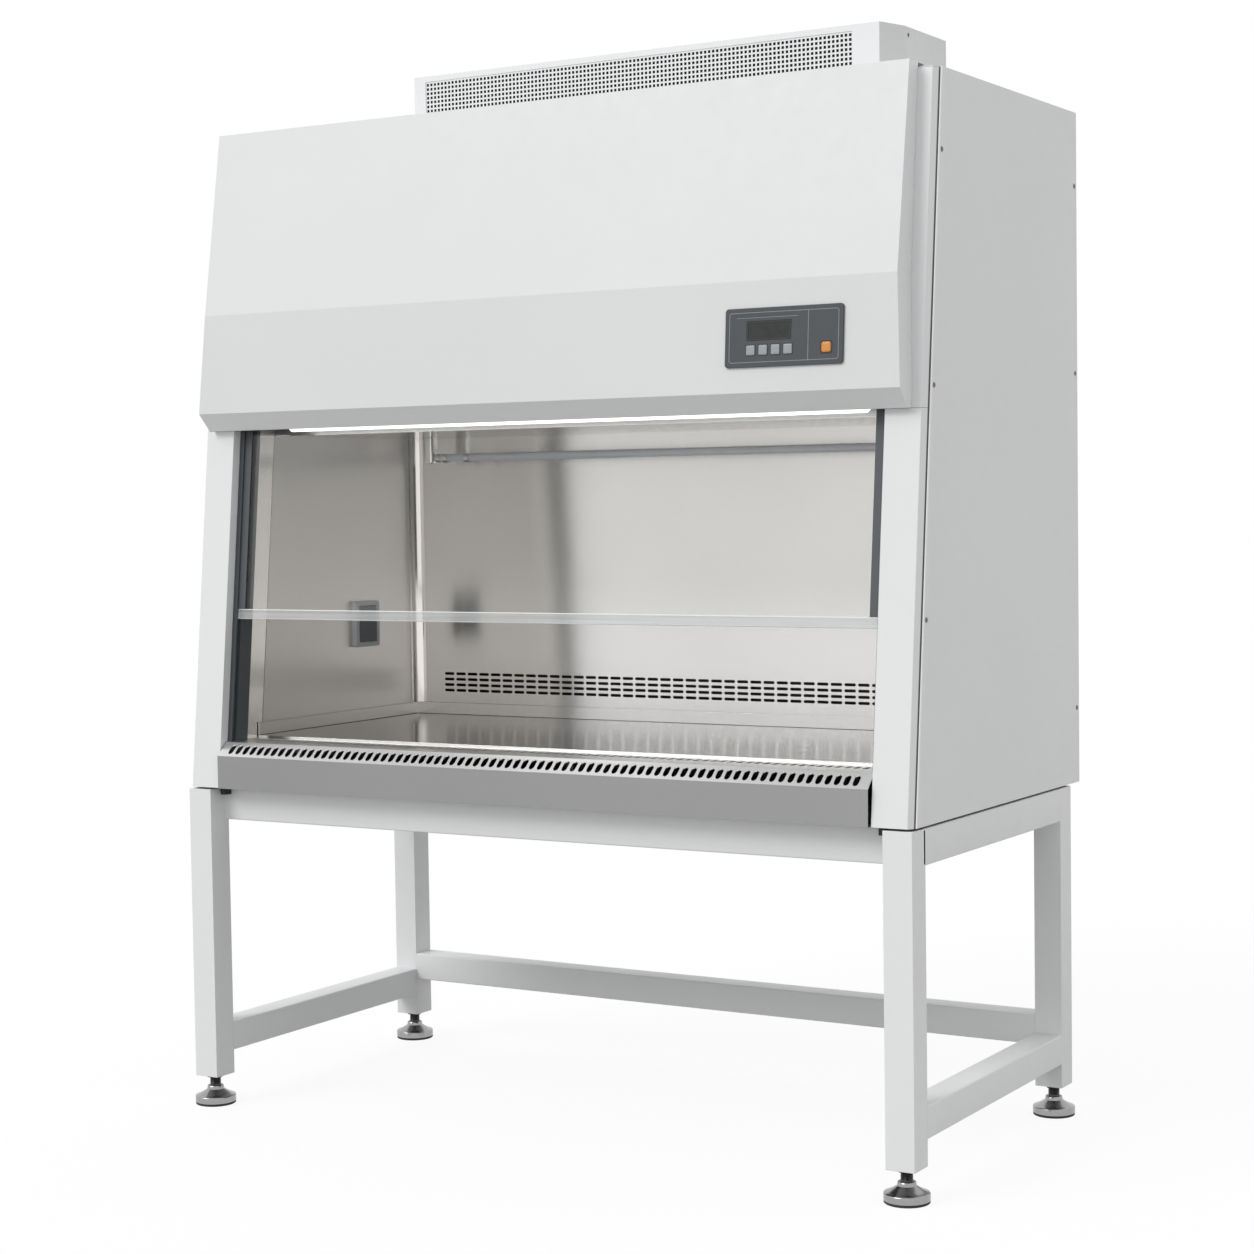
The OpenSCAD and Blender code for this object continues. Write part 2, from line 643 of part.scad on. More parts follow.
module sash_edge_profiles() color("darkslategray") placed() both_sides() difference() {
  union() {
    sash_part([sash_hw - edge_w, sash_v, rail_h], [sash_hw, sash_v + sash_t, sash_h]);
    slanted() block([sash_hw - edge_w, sash_v + 0.5, clamp_u - clamp_h / 2],
                    [belt_x + belt_w / 2 + 2, sash_v + sash_t - 0.5, clamp_u + clamp_h / 2]);
  }
  sash_part([0, sash_mid - glass_t / 2, 0], [sash_hw - 2.5, sash_mid + glass_t / 2, sash_h + eps]);
  belt_room(sash_mid);
}
// The room that a belt's run takes in the clamp that holds it
module belt_room(v) slanted() block(
  [belt_x - belt_w / 2 - belt_gap, v - belt_t / 2 - belt_gap, 0],
  [belt_x + belt_w / 2 + belt_gap, v + belt_t / 2 + belt_gap, shaft_u]);
module belt_outline(r) {
  for (u = [idler_u, shaft_u]) translate([drive_v, u]) circle(r);
  translate([drive_v - r, idler_u]) square([2 * r, shaft_u - idler_u]);
}
module lift_belts() color("black") placed() both_sides() slanted()
  across(belt_x - belt_w / 2, belt_x + belt_w / 2) difference() {
    belt_outline(pulley_r + belt_t / 2);
    belt_outline(belt_in_r);
  }
module pulley(bore) difference() {
  union() {
    drilled_x(groove_r, -belt_w / 2 - belt_gap, belt_w / 2 + belt_gap);
    for (x = [-belt_w / 2 - belt_gap - flange_t, belt_w / 2 + belt_gap])
      drilled_x(flange_r, x, x + flange_t);
  }
  if (bore > 0) drilled_x(bore, -belt_w, belt_w);
}
module lift_shaft() color("silver") placed() slanted() translate([0, drive_v, shaft_u]) {
  drilled_x(shaft_r, -hw + sheet + 2, hw - sheet - 2);
  both_sides() translate([belt_x, 0, 0]) pulley(0);
}
module idler(s) color("silver") placed() sided(s) slanted() translate([belt_x, drive_v, idler_u])
  pulley(pin_r + bore_gap);
pulley_end = belt_w / 2 + belt_gap + flange_t;
module drive_brackets() color("gray") placed() both_sides() slanted() {
  difference() {
    block([belt_x + pulley_end + 14, drive_v - 15, shaft_u - 15], [hw - sheet, drive_v + 15, shaft_u + 15]);
    translate([0, drive_v, shaft_u]) drilled_x(shaft_r + bore_gap, 0, hw);
  }
  translate([0, drive_v, idler_u]) {
    drilled_x(pin_r, belt_x - pulley_end - 1, hw - sheet);
    drilled_x(pin_r + 3, belt_x - pulley_end - 3, belt_x - pulley_end - 0.5);
    drilled_x(pin_r + 3, belt_x + pulley_end + 0.5, hw - sheet);
  }
}
module counterweight(s) color("gray") placed() sided(s) difference() {
  slanted() translate([0, drive_v + pulley_r, weight_u]) {
    block([weight_x, -weight_d / 2, -weight_l / 2], [weight_x + weight_w, weight_d / 2, weight_l / 2]);
    block([belt_x - belt_w / 2 - 3, -5, -clamp_h], [weight_x + eps, 5, clamp_h]);
  }
  belt_room(drive_v + pulley_r);
}

/* Work zone */
grille_path = [[pan_y - seat, base_z], [-sill_proud, base_z], [-sill_proud, base_z + sill_h],
  [slope_d - sill_proud, grille_z], [grille_back, grille_z], [grille_back, grille_z - 12]];
module front_grille() color("silver") placed() difference() {
  across(-open_hw + sill_gap, open_hw - sill_gap)
    polygon(bent([for (i = [len(grille_path) - 1:-1:0]) grille_path[i]], liner));
  for (x = slot_xs) translate([x, 0, 0]) {
    translate([0, (slope_d - 2 * sill_proud) / 2, base_z + sill_h - 4])
      linear_extrude(grille_h) slot(slot_w, slot_run);
    translate([0, grille_back - 16 - slot_back_l / 2, grille_z - 3 * liner])
      linear_extrude(4 * liner) slot(slot_w, slot_back_l);
  }
}
slot_count = floor((2 * open_hw - 2 * sill_gap - 20) / slot_pitch);
slot_xs = [for (i = [0:slot_count - 1]) (i - (slot_count - 1) / 2) * slot_pitch];
module work_tray() color("silver") placed() {
  w = work_hw - 2;
  y0 = grille_back + seat;
  y1 = rear_y - 2;
  block([-w, y0, tray_z - liner], [w, y1, tray_z]);
  block([-w, y0, grille_z - 10], [w, y0 + liner, tray_z]);
  block([-w, y1 - liner, tray_z - liner], [w, y1, tray_z + tray_rim]);
  both_sides() block([w - liner, y0, tray_z - liner], [w, y1, tray_z + tray_rim]);
}
module tray_posts() color("gray") placed()
  for (x = [-1, 0, 1], y = [grille_back + 60, rear_y - 60])
    translate([x * (work_hw - 60), y, base_z + sheet])
      cylinder(r = post_r, h = tray_h - sheet - liner);
module side_liners() color("silver") placed() both_sides() {
  across(work_hw, work_hw + liner) polygon([[depth_at(base_z + sheet, bay_v), base_z + sheet],
    [cab_d - sheet, base_z + sheet], [cab_d - sheet, top_z - sheet],
    [depth_at(top_z - sheet, bay_v), top_z - sheet]]);
  level(grille_z + seat, ceiling_z + canopy_rise) slanted()
    block([work_hw, guide_back, 0], [work_hw + liner, guide_back + trim_w, cab_h]);
  translate([0, 0, tray_z + tray_rim + seat]) linear_extrude(ceiling_h - tray_h - tray_rim - 2 * seat)
    difference() {
      translate([work_hw - cove_r, rear_y - cove_r]) square(cove_r - seat);
      translate([work_hw - cove_r, rear_y - cove_r]) circle(cove_r - seat - 0.5);
    }
}
module rear_liner() color("silver") placed() difference() {
  block([-work_hw + seat, rear_y, base_z + sheet], [work_hw - seat, rear_y + liner, deck_z - seat]);
  for (r = [0:rear_rows - 1], x = rear_xs)
    translate([x, rear_y - eps, tray_z + rear_slot_h + r * rear_row_pitch]) rotate([-90, 0, 0])
      linear_extrude(liner + 2 * eps) rotate(90) slot(rear_slot_w, rear_slot_l);
}
rear_count = floor((2 * work_hw - 120) / rear_pitch);
rear_xs = [for (i = [0:rear_count - 1]) (i - (rear_count - 1) / 2) * rear_pitch];
module ceiling_diffuser() color("silver") placed() difference() {
  block([-work_hw + seat, ceiling_front, ceiling_z], [work_hw - seat, rear_y - seat, ceiling_z + liner]);
  for (x = ceiling_xs, y = ceiling_ys)
    translate([x, y, ceiling_z - eps]) cylinder(r = ceiling_hole_r, h = liner + 2 * eps, $fn = 24);
}
ceiling_nx = floor((2 * work_hw - 80) / ceiling_pitch);
ceiling_ny = floor((rear_y - ceiling_front - 50) / ceiling_pitch);
ceiling_xs = [for (i = [0:ceiling_nx - 1]) (i - (ceiling_nx - 1) / 2) * ceiling_pitch];
ceiling_ys = [for (i = [0:ceiling_ny - 1])
  (rear_y + ceiling_front) / 2 + (i - (ceiling_ny - 1) / 2) * ceiling_pitch];

/* Lamps and outlet */
canopy_z = ceiling_z + canopy_rise;
lamp_z = ceiling_z + lamp_rise;
lamp_y = depth_at(lamp_z, lamp_v);
lamp_l = 2 * (work_hw - lamp_end);
uv_l = 2 * (work_hw - uv_end);
uv_y = rear_y - uv_out;
uv_z = ceiling_z - uv_drop;
module lamp_canopy() color("silver") placed() across(-work_hw + seat, work_hw - seat)
  polygon(bent([[depth_at(canopy_z - 14, 36), canopy_z - 14], [depth_at(canopy_z, 36), canopy_z],
    [depth_at(canopy_z, bay_v + liner - seat), canopy_z]], liner));
module lamp_tube() color("white") placed()
  translate([0, lamp_y, lamp_z]) drilled_x(lamp_r, -lamp_l / 2, lamp_l / 2);
module uv_tube() color("lavender") placed()
  translate([0, uv_y, uv_z]) drilled_x(lamp_r, -uv_l / 2, uv_l / 2);
module lamp_sockets() color("dimgray") placed() both_sides() {
  block([lamp_l / 2, lamp_y - socket_w / 2, lamp_z - lamp_r - 1],
        [lamp_l / 2 + socket_l, lamp_y + socket_w / 2, canopy_z]);
  block([uv_l / 2, uv_y - socket_w / 2, uv_z - lamp_r - 1],
        [uv_l / 2 + socket_l, uv_y + socket_w / 2, ceiling_z]);
}
// The outlet's frame is drawn on the left liner: X into the work zone from the liner
module at_outlet() translate([-work_hw, outlet_y, outlet_z]) children();
module face_x(x0, x1) translate([x0, 0, 0]) rotate([90, 0, 90]) linear_extrude(x1 - x0) children();
flap_top = flap_h / 2;
barrel_x = outlet_t - flap_barrel_r;
module outlet_frame() color("lightgray") placed() at_outlet() difference() {
  face_x(0, outlet_t) rounded(outlet_w, outlet_h, 6);
  block([outlet_t - 2 * flap_barrel_r - 0.5, -flap_w / 2 - 0.5, -flap_h / 2 - 0.5],
        [outlet_t + eps, flap_w / 2 + 0.5, flap_top + 1]);
  block([3, -flap_w / 2 + 8, -flap_h / 2 + 8], [outlet_t, flap_w / 2 - 8, flap_top - 12]);
  translate([barrel_x, 0, flap_top - flap_barrel_r]) rotate([90, 0, 0])
    cylinder(r = flap_pin_r + bore_gap, h = flap_w + 8.4, center = true);
}
module outlet_flap() color("dimgray") placed() at_outlet() {
  block([outlet_t - flap_t, -flap_w / 2, -flap_h / 2], [outlet_t, flap_w / 2, flap_top - flap_barrel_r]);
  translate([barrel_x, 0, flap_top - flap_barrel_r]) rotate([90, 0, 0]) {
    cylinder(r = flap_barrel_r, h = flap_w, center = true);
    cylinder(r = flap_pin_r, h = flap_w + 8, center = true);
  }
}

/* Air system */
divider_v = bay_v + liner;
module plenum_divider() color("lightgray") placed() {
  w = work_hw - seat;
  level(ceiling_z + liner, top_z - sheet - seat) slanted()
    block([-w, divider_v, 0], [w, divider_v + sheet, 2 * cab_h]);
  difference() {
    block([-w, depth_at(deck_z, divider_v), deck_z], [w, cab_d - sheet - seat, deck_z + sheet]);
    block([-scroll_w / 2 + sheet, blower_y - scroll_r + sheet, deck_z - eps],
          [scroll_w / 2 - sheet, blower_y - 10 - sheet, deck_z + sheet + eps]);
    block([-work_hw + intake_end, rear_y + 15, deck_z - eps],
          [work_hw - intake_end, cab_d - 15, deck_z + sheet + eps]);
  }
}
module filter_box(low, high) {
  rim = 12;
  dip = 6;
  difference() {
    block(low, high);
    for (z = [low[2] - dip, high[2] - dip])
      block([low[0] + rim, low[1] + rim, z], [high[0] - rim, high[1] - rim, z + 2 * dip]);
  }
}
module supply_filter() color("white") placed()
  filter_box([-work_hw + 10, depth_at(deck_z, divider_v) + 5, deck_z - seat - supply_t],
             [work_hw - 10, rear_y - 5, deck_z - seat]);
module exhaust_filter() color("white") placed()
  filter_box([-exhaust_front + filter_side, exhaust_y + filter_edge, filter_z],
             [exhaust_front - filter_side, exhaust_y + exhaust_d - filter_edge, filter_z + exhaust_t]);
module scroll_outline(t) {
  translate([blower_y, blower_z]) circle(scroll_r - t);
  polygon([[blower_y - scroll_r + t, blower_z], [blower_y - scroll_r + t, deck_z + sheet - t],
    [blower_y - 10 - t, deck_z + sheet - t], [blower_y - 10 - t, blower_z]]);
}
module blower_housing() color("silver") placed() difference() {
  across(-scroll_w / 2, scroll_w / 2) scroll_outline(0);
  across(-scroll_w / 2 + sheet, scroll_w / 2 - sheet) scroll_outline(sheet);
  translate([0, blower_y, blower_z]) drilled_x(wheel_r * 0.7, -scroll_w, scroll_w);
}
module blower_wheel() color("gray") placed() translate([0, blower_y, blower_z]) {
  drilled_x(wheel_r - 2, -2, 2);
  drilled_x(wheel_shaft_r * 2.5, -25, 25);
  drilled_x(wheel_shaft_r, -wheel_w / 2, motor_x + 15);
  for (x = [-wheel_w / 2, wheel_w / 2 - 3]) difference() {
    drilled_x(wheel_r, x, x + 3);
    drilled_x(wheel_r - 22, x - eps, x + 3 + eps);
  }
  for (i = [0:blades - 1]) rotate([i * 360 / blades, 0, 0])
    block([-wheel_w / 2 + 1, wheel_r - 20, -1.5], [wheel_w / 2 - 1, wheel_r - 2, 1.5]);
}
motor_x = scroll_w / 2 + motor_gap;
module blower_motor() color("dimgray") placed() translate([0, blower_y, blower_z]) difference() {
  union() {
    drilled_x(motor_r, motor_x, motor_x + motor_l);
    block([motor_x + 15, -motor_foot_w / 2, deck_z + sheet - blower_z],
          [motor_x + motor_l - 15, motor_foot_w / 2, -motor_r * 0.7]);
  }
  drilled_x(wheel_shaft_r + bore_gap, motor_x - eps, motor_x + 16);
}

/* Exhaust box */
exhaust_plan = [[exhaust_front, exhaust_y], [exhaust_front + exhaust_flare, exhaust_y + exhaust_flare_d],
  [exhaust_front + exhaust_flare, exhaust_y + exhaust_d],
  [-exhaust_front - exhaust_flare, exhaust_y + exhaust_d],
  [-exhaust_front - exhaust_flare, exhaust_y + exhaust_flare_d], [-exhaust_front, exhaust_y]];
perf_x0 = -exhaust_front + perf_left;
perf_x1 = exhaust_front - perf_right;
perf_nx = floor((perf_x1 - perf_x0) / perf_pitch);
perf_nz = floor((exhaust_h - 2 * perf_edge) / perf_pitch);
module exhaust_box() color("whitesmoke") placed() difference() {
  translate([0, 0, top_z]) linear_extrude(exhaust_h) polygon(exhaust_plan);
  translate([0, 0, top_z - eps]) linear_extrude(exhaust_h + eps - sheet)
    polygon(inset(exhaust_plan, sheet));
  block([perf_x0, exhaust_y - eps, top_z + perf_edge],
        [perf_x1, exhaust_y + sheet + eps, top_z + exhaust_h - perf_edge]);
}
module exhaust_grille() color("whitesmoke") placed()
  translate([(perf_x0 + perf_x1) / 2, exhaust_y + sheet + 1, top_z + exhaust_h / 2])
    rotate([90, 0, 0]) linear_extrude(1) difference() {
      square([perf_x1 - perf_x0 + 20, exhaust_h - 2 * perf_edge + 10], center = true);
      for (i = [0:perf_nx - 1], j = [0:perf_nz - 1])
        translate([(i - (perf_nx - 1) / 2) * perf_pitch, (j - (perf_nz - 1) / 2) * perf_pitch])
          square(perf_hole, center = true);
    }

legs();
upper_rails();
lower_bars();
base_pads();
foot(-1, -1);  // foot_front_left
foot(1, -1);  // foot_front_right
foot(-1, 1);  // foot_rear_left
foot(1, 1);  // foot_rear_right
foot_lock_nuts();
side_panel(-1);  // side_panel_left
side_panel(1);  // side_panel_right
back_panel();
top_panel();
base_pan();
panel_screws();
pillar(-1);  // pillar_left
pillar(1);  // pillar_right
upper_cheeks();
hood();
control_bezel();
display_window();
control_box();
soft_key(1);  // key_1
soft_key(2);  // key_2
soft_key(3);  // key_3
soft_key(4);  // key_4
power_key();
front_grille();
work_tray();
tray_posts();
side_liners();
rear_liner();
ceiling_diffuser();
sash_glass();
sash_grip_rail();
sash_edge_profiles();
sash_guides();
lift_belts();
lift_shaft();
idler(-1);  // idler_left
idler(1);  // idler_right
drive_brackets();
counterweight(-1);  // counterweight_left
counterweight(1);  // counterweight_right
lamp_canopy();
lamp_tube();
uv_tube();
lamp_sockets();
outlet_frame();
outlet_flap();
supply_filter();
exhaust_filter();
plenum_divider();
blower_housing();
blower_wheel();
blower_motor();
exhaust_box();
exhaust_grille();
power_inlet();
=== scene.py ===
"""Biological safety cabinet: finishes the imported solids, adds the finer pieces, the stage and the camera."""
import functools
import math

import bmesh
import bpy
import numpy as np
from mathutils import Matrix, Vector


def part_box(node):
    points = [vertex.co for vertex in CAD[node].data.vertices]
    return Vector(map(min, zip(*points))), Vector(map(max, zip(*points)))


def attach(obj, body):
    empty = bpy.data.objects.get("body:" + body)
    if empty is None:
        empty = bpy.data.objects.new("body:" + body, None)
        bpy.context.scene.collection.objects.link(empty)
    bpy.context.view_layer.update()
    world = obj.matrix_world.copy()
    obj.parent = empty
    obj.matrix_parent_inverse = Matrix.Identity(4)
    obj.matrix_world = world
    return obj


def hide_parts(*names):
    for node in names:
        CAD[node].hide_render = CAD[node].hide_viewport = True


bl_info = {
    "name": "Biosafety cabinet",
    "version": (1, 0, 0),
    "blender": (4, 5, 0),
    "location": "View3D > Sidebar > Cabinet",
    "description": "Finishes a biological safety cabinet, piece by piece",
    "category": "Object",
}

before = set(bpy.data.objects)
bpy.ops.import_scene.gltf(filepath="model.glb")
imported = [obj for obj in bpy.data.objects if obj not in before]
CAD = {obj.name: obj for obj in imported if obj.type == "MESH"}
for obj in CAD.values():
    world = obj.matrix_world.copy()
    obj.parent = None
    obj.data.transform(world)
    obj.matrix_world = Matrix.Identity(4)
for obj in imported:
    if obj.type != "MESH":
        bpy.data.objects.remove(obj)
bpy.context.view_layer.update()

# Corners closer than this are one corner, in metres
SAME_CORNER = 2e-6
# Faces that meet at less than this are one face, in degrees
SAME_FACE = 0.6
# A fold in sheet metal turns by an angle between these, in degrees
FOLD_ANGLES = (2.5, 88)
# Corners that reach this nearly as far as the farthest are on the same face, in metres
FLAT_WITHIN = 1e-4
# Edges sharper than these are eased, and kept sharp in the shading, in degrees
EASED_ANGLE = 40
SHARP_ANGLE = 30


# ---------------------------------------------------------------- settings

def colour_property(name, description, default):
    """A colour that the panel shows, given in linear red, green and blue."""
    return bpy.props.FloatVectorProperty(
        name=name, description=description, subtype="COLOR", size=3, min=0, max=1, default=default)


def length_property(name, description, default, low, high):
    """A length in metres that the panel shows."""
    return bpy.props.FloatProperty(
        name=name, description=description, subtype="DISTANCE", unit="LENGTH",
        default=default, min=low, max=high, precision=5)


def strength_property(name, description, default, high):
    """A plain number from nought that the panel shows."""
    return bpy.props.FloatProperty(name=name, description=description, default=default, min=0, max=high)


def vector_property(name, description, default, subtype, unit):
    """A place or a turn that the panel shows."""
    return bpy.props.FloatVectorProperty(
        name=name, description=description, subtype=subtype, unit=unit, default=default)


class FinishSettings(bpy.types.PropertyGroup):
    """Colours of the cabinet's finishes."""

    paint: colour_property("Front paint", "Powder coat of the hood, pillars and stand", (0.79, 0.795, 0.80))
    shell: colour_property("Shell paint", "Powder coat of the side, back and top panels", (0.77, 0.775, 0.78))
    steel: colour_property("Stainless steel", "Brushed sheet of the work zone", (0.68, 0.655, 0.625))
    profile: colour_property("Sash profile", "Anodised profiles beside the sash", (0.080, 0.090, 0.098))
    bezel: colour_property("Bezel", "Membrane of the control panel", (0.052, 0.059, 0.066))
    soft_key: colour_property("Soft keys", "The four grey keys", (0.33, 0.345, 0.36))
    power_key: colour_property("Power key", "The orange key", (0.66, 0.27, 0.05))
    flap: colour_property("Outlet flap", "Flap of the socket outlet", (0.10, 0.115, 0.125))


class SizeSettings(bpy.types.PropertyGroup):
    """Sizes of the finer pieces."""

    hole_pitch: length_property("Hole pitch", "Spacing of the exhaust grille's holes", 0.00875, 0.004, 0.03)
    hole_width: length_property("Hole width", "Width of one square hole", 0.0055, 0.002, 0.02)
    tube_side: length_property("Tube side", "Side of the stand's square tube", 0.054, 0.02, 0.1)
    lamp_radius: length_property("Lamp radius", "Radius of the lamp's glass tube", 0.0055, 0.003, 0.02)
    uv_radius: length_property("Germicidal lamp radius", "Radius of its glass tube", 0.0085, 0.003, 0.0095)


class StageSettings(bpy.types.PropertyGroup):
    """Light, floor and camera."""

    floor_colour: colour_property("Floor", "Colour of the studio floor", (0.42, 0.42, 0.42))
    floor_glow: strength_property("Floor glow", "How far the floor is shown as plain white", 0.90, 1)
    sky: strength_property("Soft light", "Strength of the light from all round", 0.80, 2)
    key_light: strength_property("Key light", "Strength of the even light from the front left", 1.35, 10)
    camera_place: vector_property(
        "Camera", "Where the camera stands", (2.474466, -4.126683, 1.186382), "TRANSLATION", "LENGTH")
    camera_turn: vector_property(
        "Camera turn", "How the camera is turned", (1.519657, 0.014546, 0.538058), "EULER", "ROTATION")
    lens: bpy.props.FloatProperty(
        name="Lens", description="Focal length", default=71.312, min=10, max=200, unit="CAMERA")


# ---------------------------------------------------------------- materials

class Nodes:
    """Builds the nodes of a material, or of the world, in few words."""

    def __init__(self, owner, ending="OutputMaterial"):
        owner.use_nodes = True
        self.owner = owner
        self.tree = owner.node_tree
        self.tree.nodes.clear()
        self.out = self.add(ending)

    @functools.cached_property
    def place(self):
        """Object coordinates, from one node that the whole material shares."""
        return self.add("TexCoord").outputs["Object"]

    def add(self, kind, settings=None, **inputs):
        """A node of one kind, with its settings and its inputs: values, or sockets to link.

        An input goes by its name, with _ for a space, or by its number after an i.
        """
        node = self.tree.nodes.new("ShaderNode" + kind)
        for key, value in (settings or {}).items():
            setattr(node, key, value)
        for key, value in inputs.items():
            numbered = key[0] == "i" and key[1:].isdigit()
            socket = node.inputs[int(key[1:]) if numbered else key.replace("_", " ")]
            if isinstance(value, bpy.types.NodeSocket):
                self.tree.links.new(value, socket)
            else:
                socket.default_value = value
        return node

    def noise(self, scale, detail=3.0, roughness=0.5, stretch=None):
        """Soft random values between 0 and 1, on Object coordinates that stretch may scale by axis."""
        vector = self.place
        if stretch:
            vector = self.add("Mapping", Vector=vector, Scale=stretch).outputs[0]
        return self.add("TexNoise", Vector=vector, Scale=scale, Detail=detail,
                        Roughness=roughness).outputs["Fac"]

    def spread(self, value, low, high, start=0.3, end=0.7):
        """The value carried from start..end to low..high."""
        return self.add("MapRange", Value=value, From_Min=start, From_Max=end,
                        To_Min=low, To_Max=high).outputs[0]

    def tint(self, value, low, high):
        """A mix of two colours by a value."""
        mix = self.add("Mix", {"data_type": "RGBA"}, Factor=value)
        mix.inputs[6].default_value = (*low, 1)
        mix.inputs[7].default_value = (*high, 1)
        return mix.outputs[2]

    def tones(self, value, colour, low, high):
        """A mix, by a value, of one colour made darker and lighter by two factors."""
        return self.tint(value, shade(colour, low), shade(colour, high))

    def bump(self, height, strength, distance):
        """A normal tilted by the slope of a height."""
        return self.add("Bump", Strength=strength, Distance=distance, Height=height).outputs[0]

    def mixed(self, share, first, last):
        """Two shaders mixed: the share goes to the last."""
        return self.add("MixShader", i0=share, i1=first, i2=last).outputs[0]

    def looking(self):
        """1 for the camera's rays, mirrored ones and those let through, and 0 for the rays that light."""
        path = self.add("LightPath")
        found = path.outputs["Is Camera Ray"]
        for ray in ("Is Glossy Ray", "Is Transmission Ray"):
            found = self.add("Math", {"operation": "MAXIMUM"}, i0=found, i1=path.outputs[ray]).outputs[0]
        return found

    def end(self, shader):
        """Links the last shader to the output."""
        self.tree.links.new(shader, self.out.inputs[0])
        return self.owner

    def principled(self, **inputs):
        """Ends with one principled shader."""
        return self.end(self.add("BsdfPrincipled", **inputs).outputs[0])


def material(name):
    """The nodes of a new material."""
    return Nodes(bpy.data.materials.new(name))


def shade(colour, factor):
    """The colour made lighter or darker by a factor, kept below white."""
    return tuple(min(0.98, part * factor) for part in colour)


def powder_coat(name, colour):
    """Baked powder paint: a fine orange peel, and a sheen that varies a little over a sheet."""
    n = material(name)
    cloud = n.noise(2.3, 2)
    peel = n.noise(520, 2, 0.6)
    return n.principled(
        Base_Color=n.tones(n.spread(cloud, 0, 1), colour, 0.985, 1.012),
        Roughness=n.spread(n.noise(40, 3), 0.36, 0.46),
        Normal=n.bump(peel, 0.09, 0.0004))


# How fine the scratches are by axis: fine across the grain and drawn out along it
GRAIN_X = (5, 1400, 1400)
GRAIN_Z = (1400, 1400, 6)


def brushed(name, colour, grain, rough, about="Z", turn=0.0, stretch=0.7):
    """Brushed stainless sheet: fine scratches along the grain, and a sheen drawn out across it."""
    n = material(name)
    lines = n.noise(1.0, 4, 0.65, grain)
    cloud = n.noise(2.1, 2)
    tangent = n.add("Tangent", {"direction_type": "RADIAL", "axis": about}).outputs[0]
    return n.principled(
        Base_Color=n.tones(n.spread(cloud, 0, 1), colour, 0.97, 1.03),
        Metallic=1.0,
        Roughness=n.spread(lines, rough[0], rough[1], 0.25, 0.75),
        Anisotropic=stretch, Anisotropic_Rotation=turn, Tangent=tangent,
        Normal=n.bump(lines, 0.05, 0.0001))


def plastic(name, colour, rough=0.4, grain=1400, strength=0.12):
    """Moulded plastic with a fine eroded skin."""
    n = material(name)
    skin = n.noise(grain, 2, 0.6)
    return n.principled(
        Base_Color=n.tones(n.noise(30, 2), colour, 0.94, 1.06),
        Roughness=n.spread(n.noise(90, 3), rough - 0.05, rough + 0.07),
        Normal=n.bump(skin, strength, 0.0002))


def machined(name, colour, rough=0.3):
    """Turned or ground steel."""
    n = material(name)
    marks = n.noise(1.0, 3, stretch=(700, 700, 700))
    return n.principled(
        Base_Color=n.tones(n.noise(60, 3), colour, 0.9, 1.08),
        Metallic=1.0, Roughness=n.spread(marks, rough - 0.06, rough + 0.1),
        Normal=n.bump(marks, 0.08, 0.0002))


def cast_paint(name, colour):
    """Painted casting with a sandy skin."""
    n = material(name)
    sand = n.noise(260, 4, 0.6)
    return n.principled(
        Base_Color=n.tones(n.noise(18, 3), colour, 0.85, 1.15),
        Roughness=n.spread(sand, 0.45, 0.65), Normal=n.bump(sand, 0.35, 0.0006))


def galvanised(name, colour):
    """Zinc-coated sheet with its spangle."""
    n = material(name)
    spangle = n.add("TexVoronoi", Vector=n.place, Scale=90.0).outputs["Color"]
    grey = n.add("RGBToBW", Color=spangle).outputs[0]
    return n.principled(
        Base_Color=n.tones(grey, colour, 0.88, 1.1), Metallic=0.85,
        Roughness=n.spread(grey, 0.34, 0.5, 0, 1), Normal=n.bump(n.noise(300, 2), 0.06, 0.0003))


def rubber(name, colour):
    """Matt rubber with a dusty skin."""
    n = material(name)
    skin = n.noise(700, 3)
    return n.principled(
        Base_Color=n.tones(n.noise(40, 2), colour, 0.8, 1.5),
        Roughness=n.spread(skin, 0.6, 0.8), Normal=n.bump(skin, 0.2, 0.0003))


def filter_medium(name, colour):
    """Pleated fibre paper: its fibres lie along the pleats."""
    n = material(name)
    fibre = n.noise(1.0, 4, 0.7, (900, 260, 900))
    return n.principled(
        Base_Color=n.tones(fibre, colour, 0.9, 1.05), Roughness=0.85,
        Normal=n.bump(fibre, 0.4, 0.0005))


def clear_glass(name):
    """Toughened glass: clear through, with a reflection that grows at a grazing angle."""
    n = material(name)
    wave = n.bump(n.noise(3.0, 1), 0.02, 0.002)
    see = n.add("BsdfTransparent", Color=(0.985, 0.985, 0.98, 1)).outputs[0]
    sheen = n.add("BsdfGlossy", Color=(1, 1, 1, 1), Roughness=0.02, Normal=wave).outputs[0]
    edge = n.add("Fresnel", IOR=1.38).outputs[0]
    return n.end(n.mixed(edge, see, sheen))


def frosted(name, colour, share):
    """Clear plastic with a faint frost: the share of it that shows as a solid body, streaked along X."""
    n = material(name)
    frost = n.noise(400, 2)
    streak = n.noise(1.0, 2, stretch=(2, 60, 160))
    see = n.add("BsdfTransparent", Color=(0.93, 0.95, 0.95, 1)).outputs[0]
    body = n.add("BsdfPrincipled", Base_Color=(*colour, 1),
                 Roughness=n.spread(frost, 0.12, 0.25)).outputs[0]
    return n.end(n.mixed(n.spread(streak, share - 0.05, share + 0.05), see, body))


def glowing(name, colour, strength, rough=0.3):
    """A lamp's glowing tube, with a faint cloud in its coating."""
    n = material(name)
    cloud = n.spread(n.noise(6, 1), 0.97, 1.0)
    return n.principled(
        Base_Color=n.tint(cloud, shade(colour, 0.95), colour), Roughness=rough,
        Emission_Color=(*colour, 1), Emission_Strength=strength)


# Every material by its short name, filled by make_finishes
FINISHES = {}


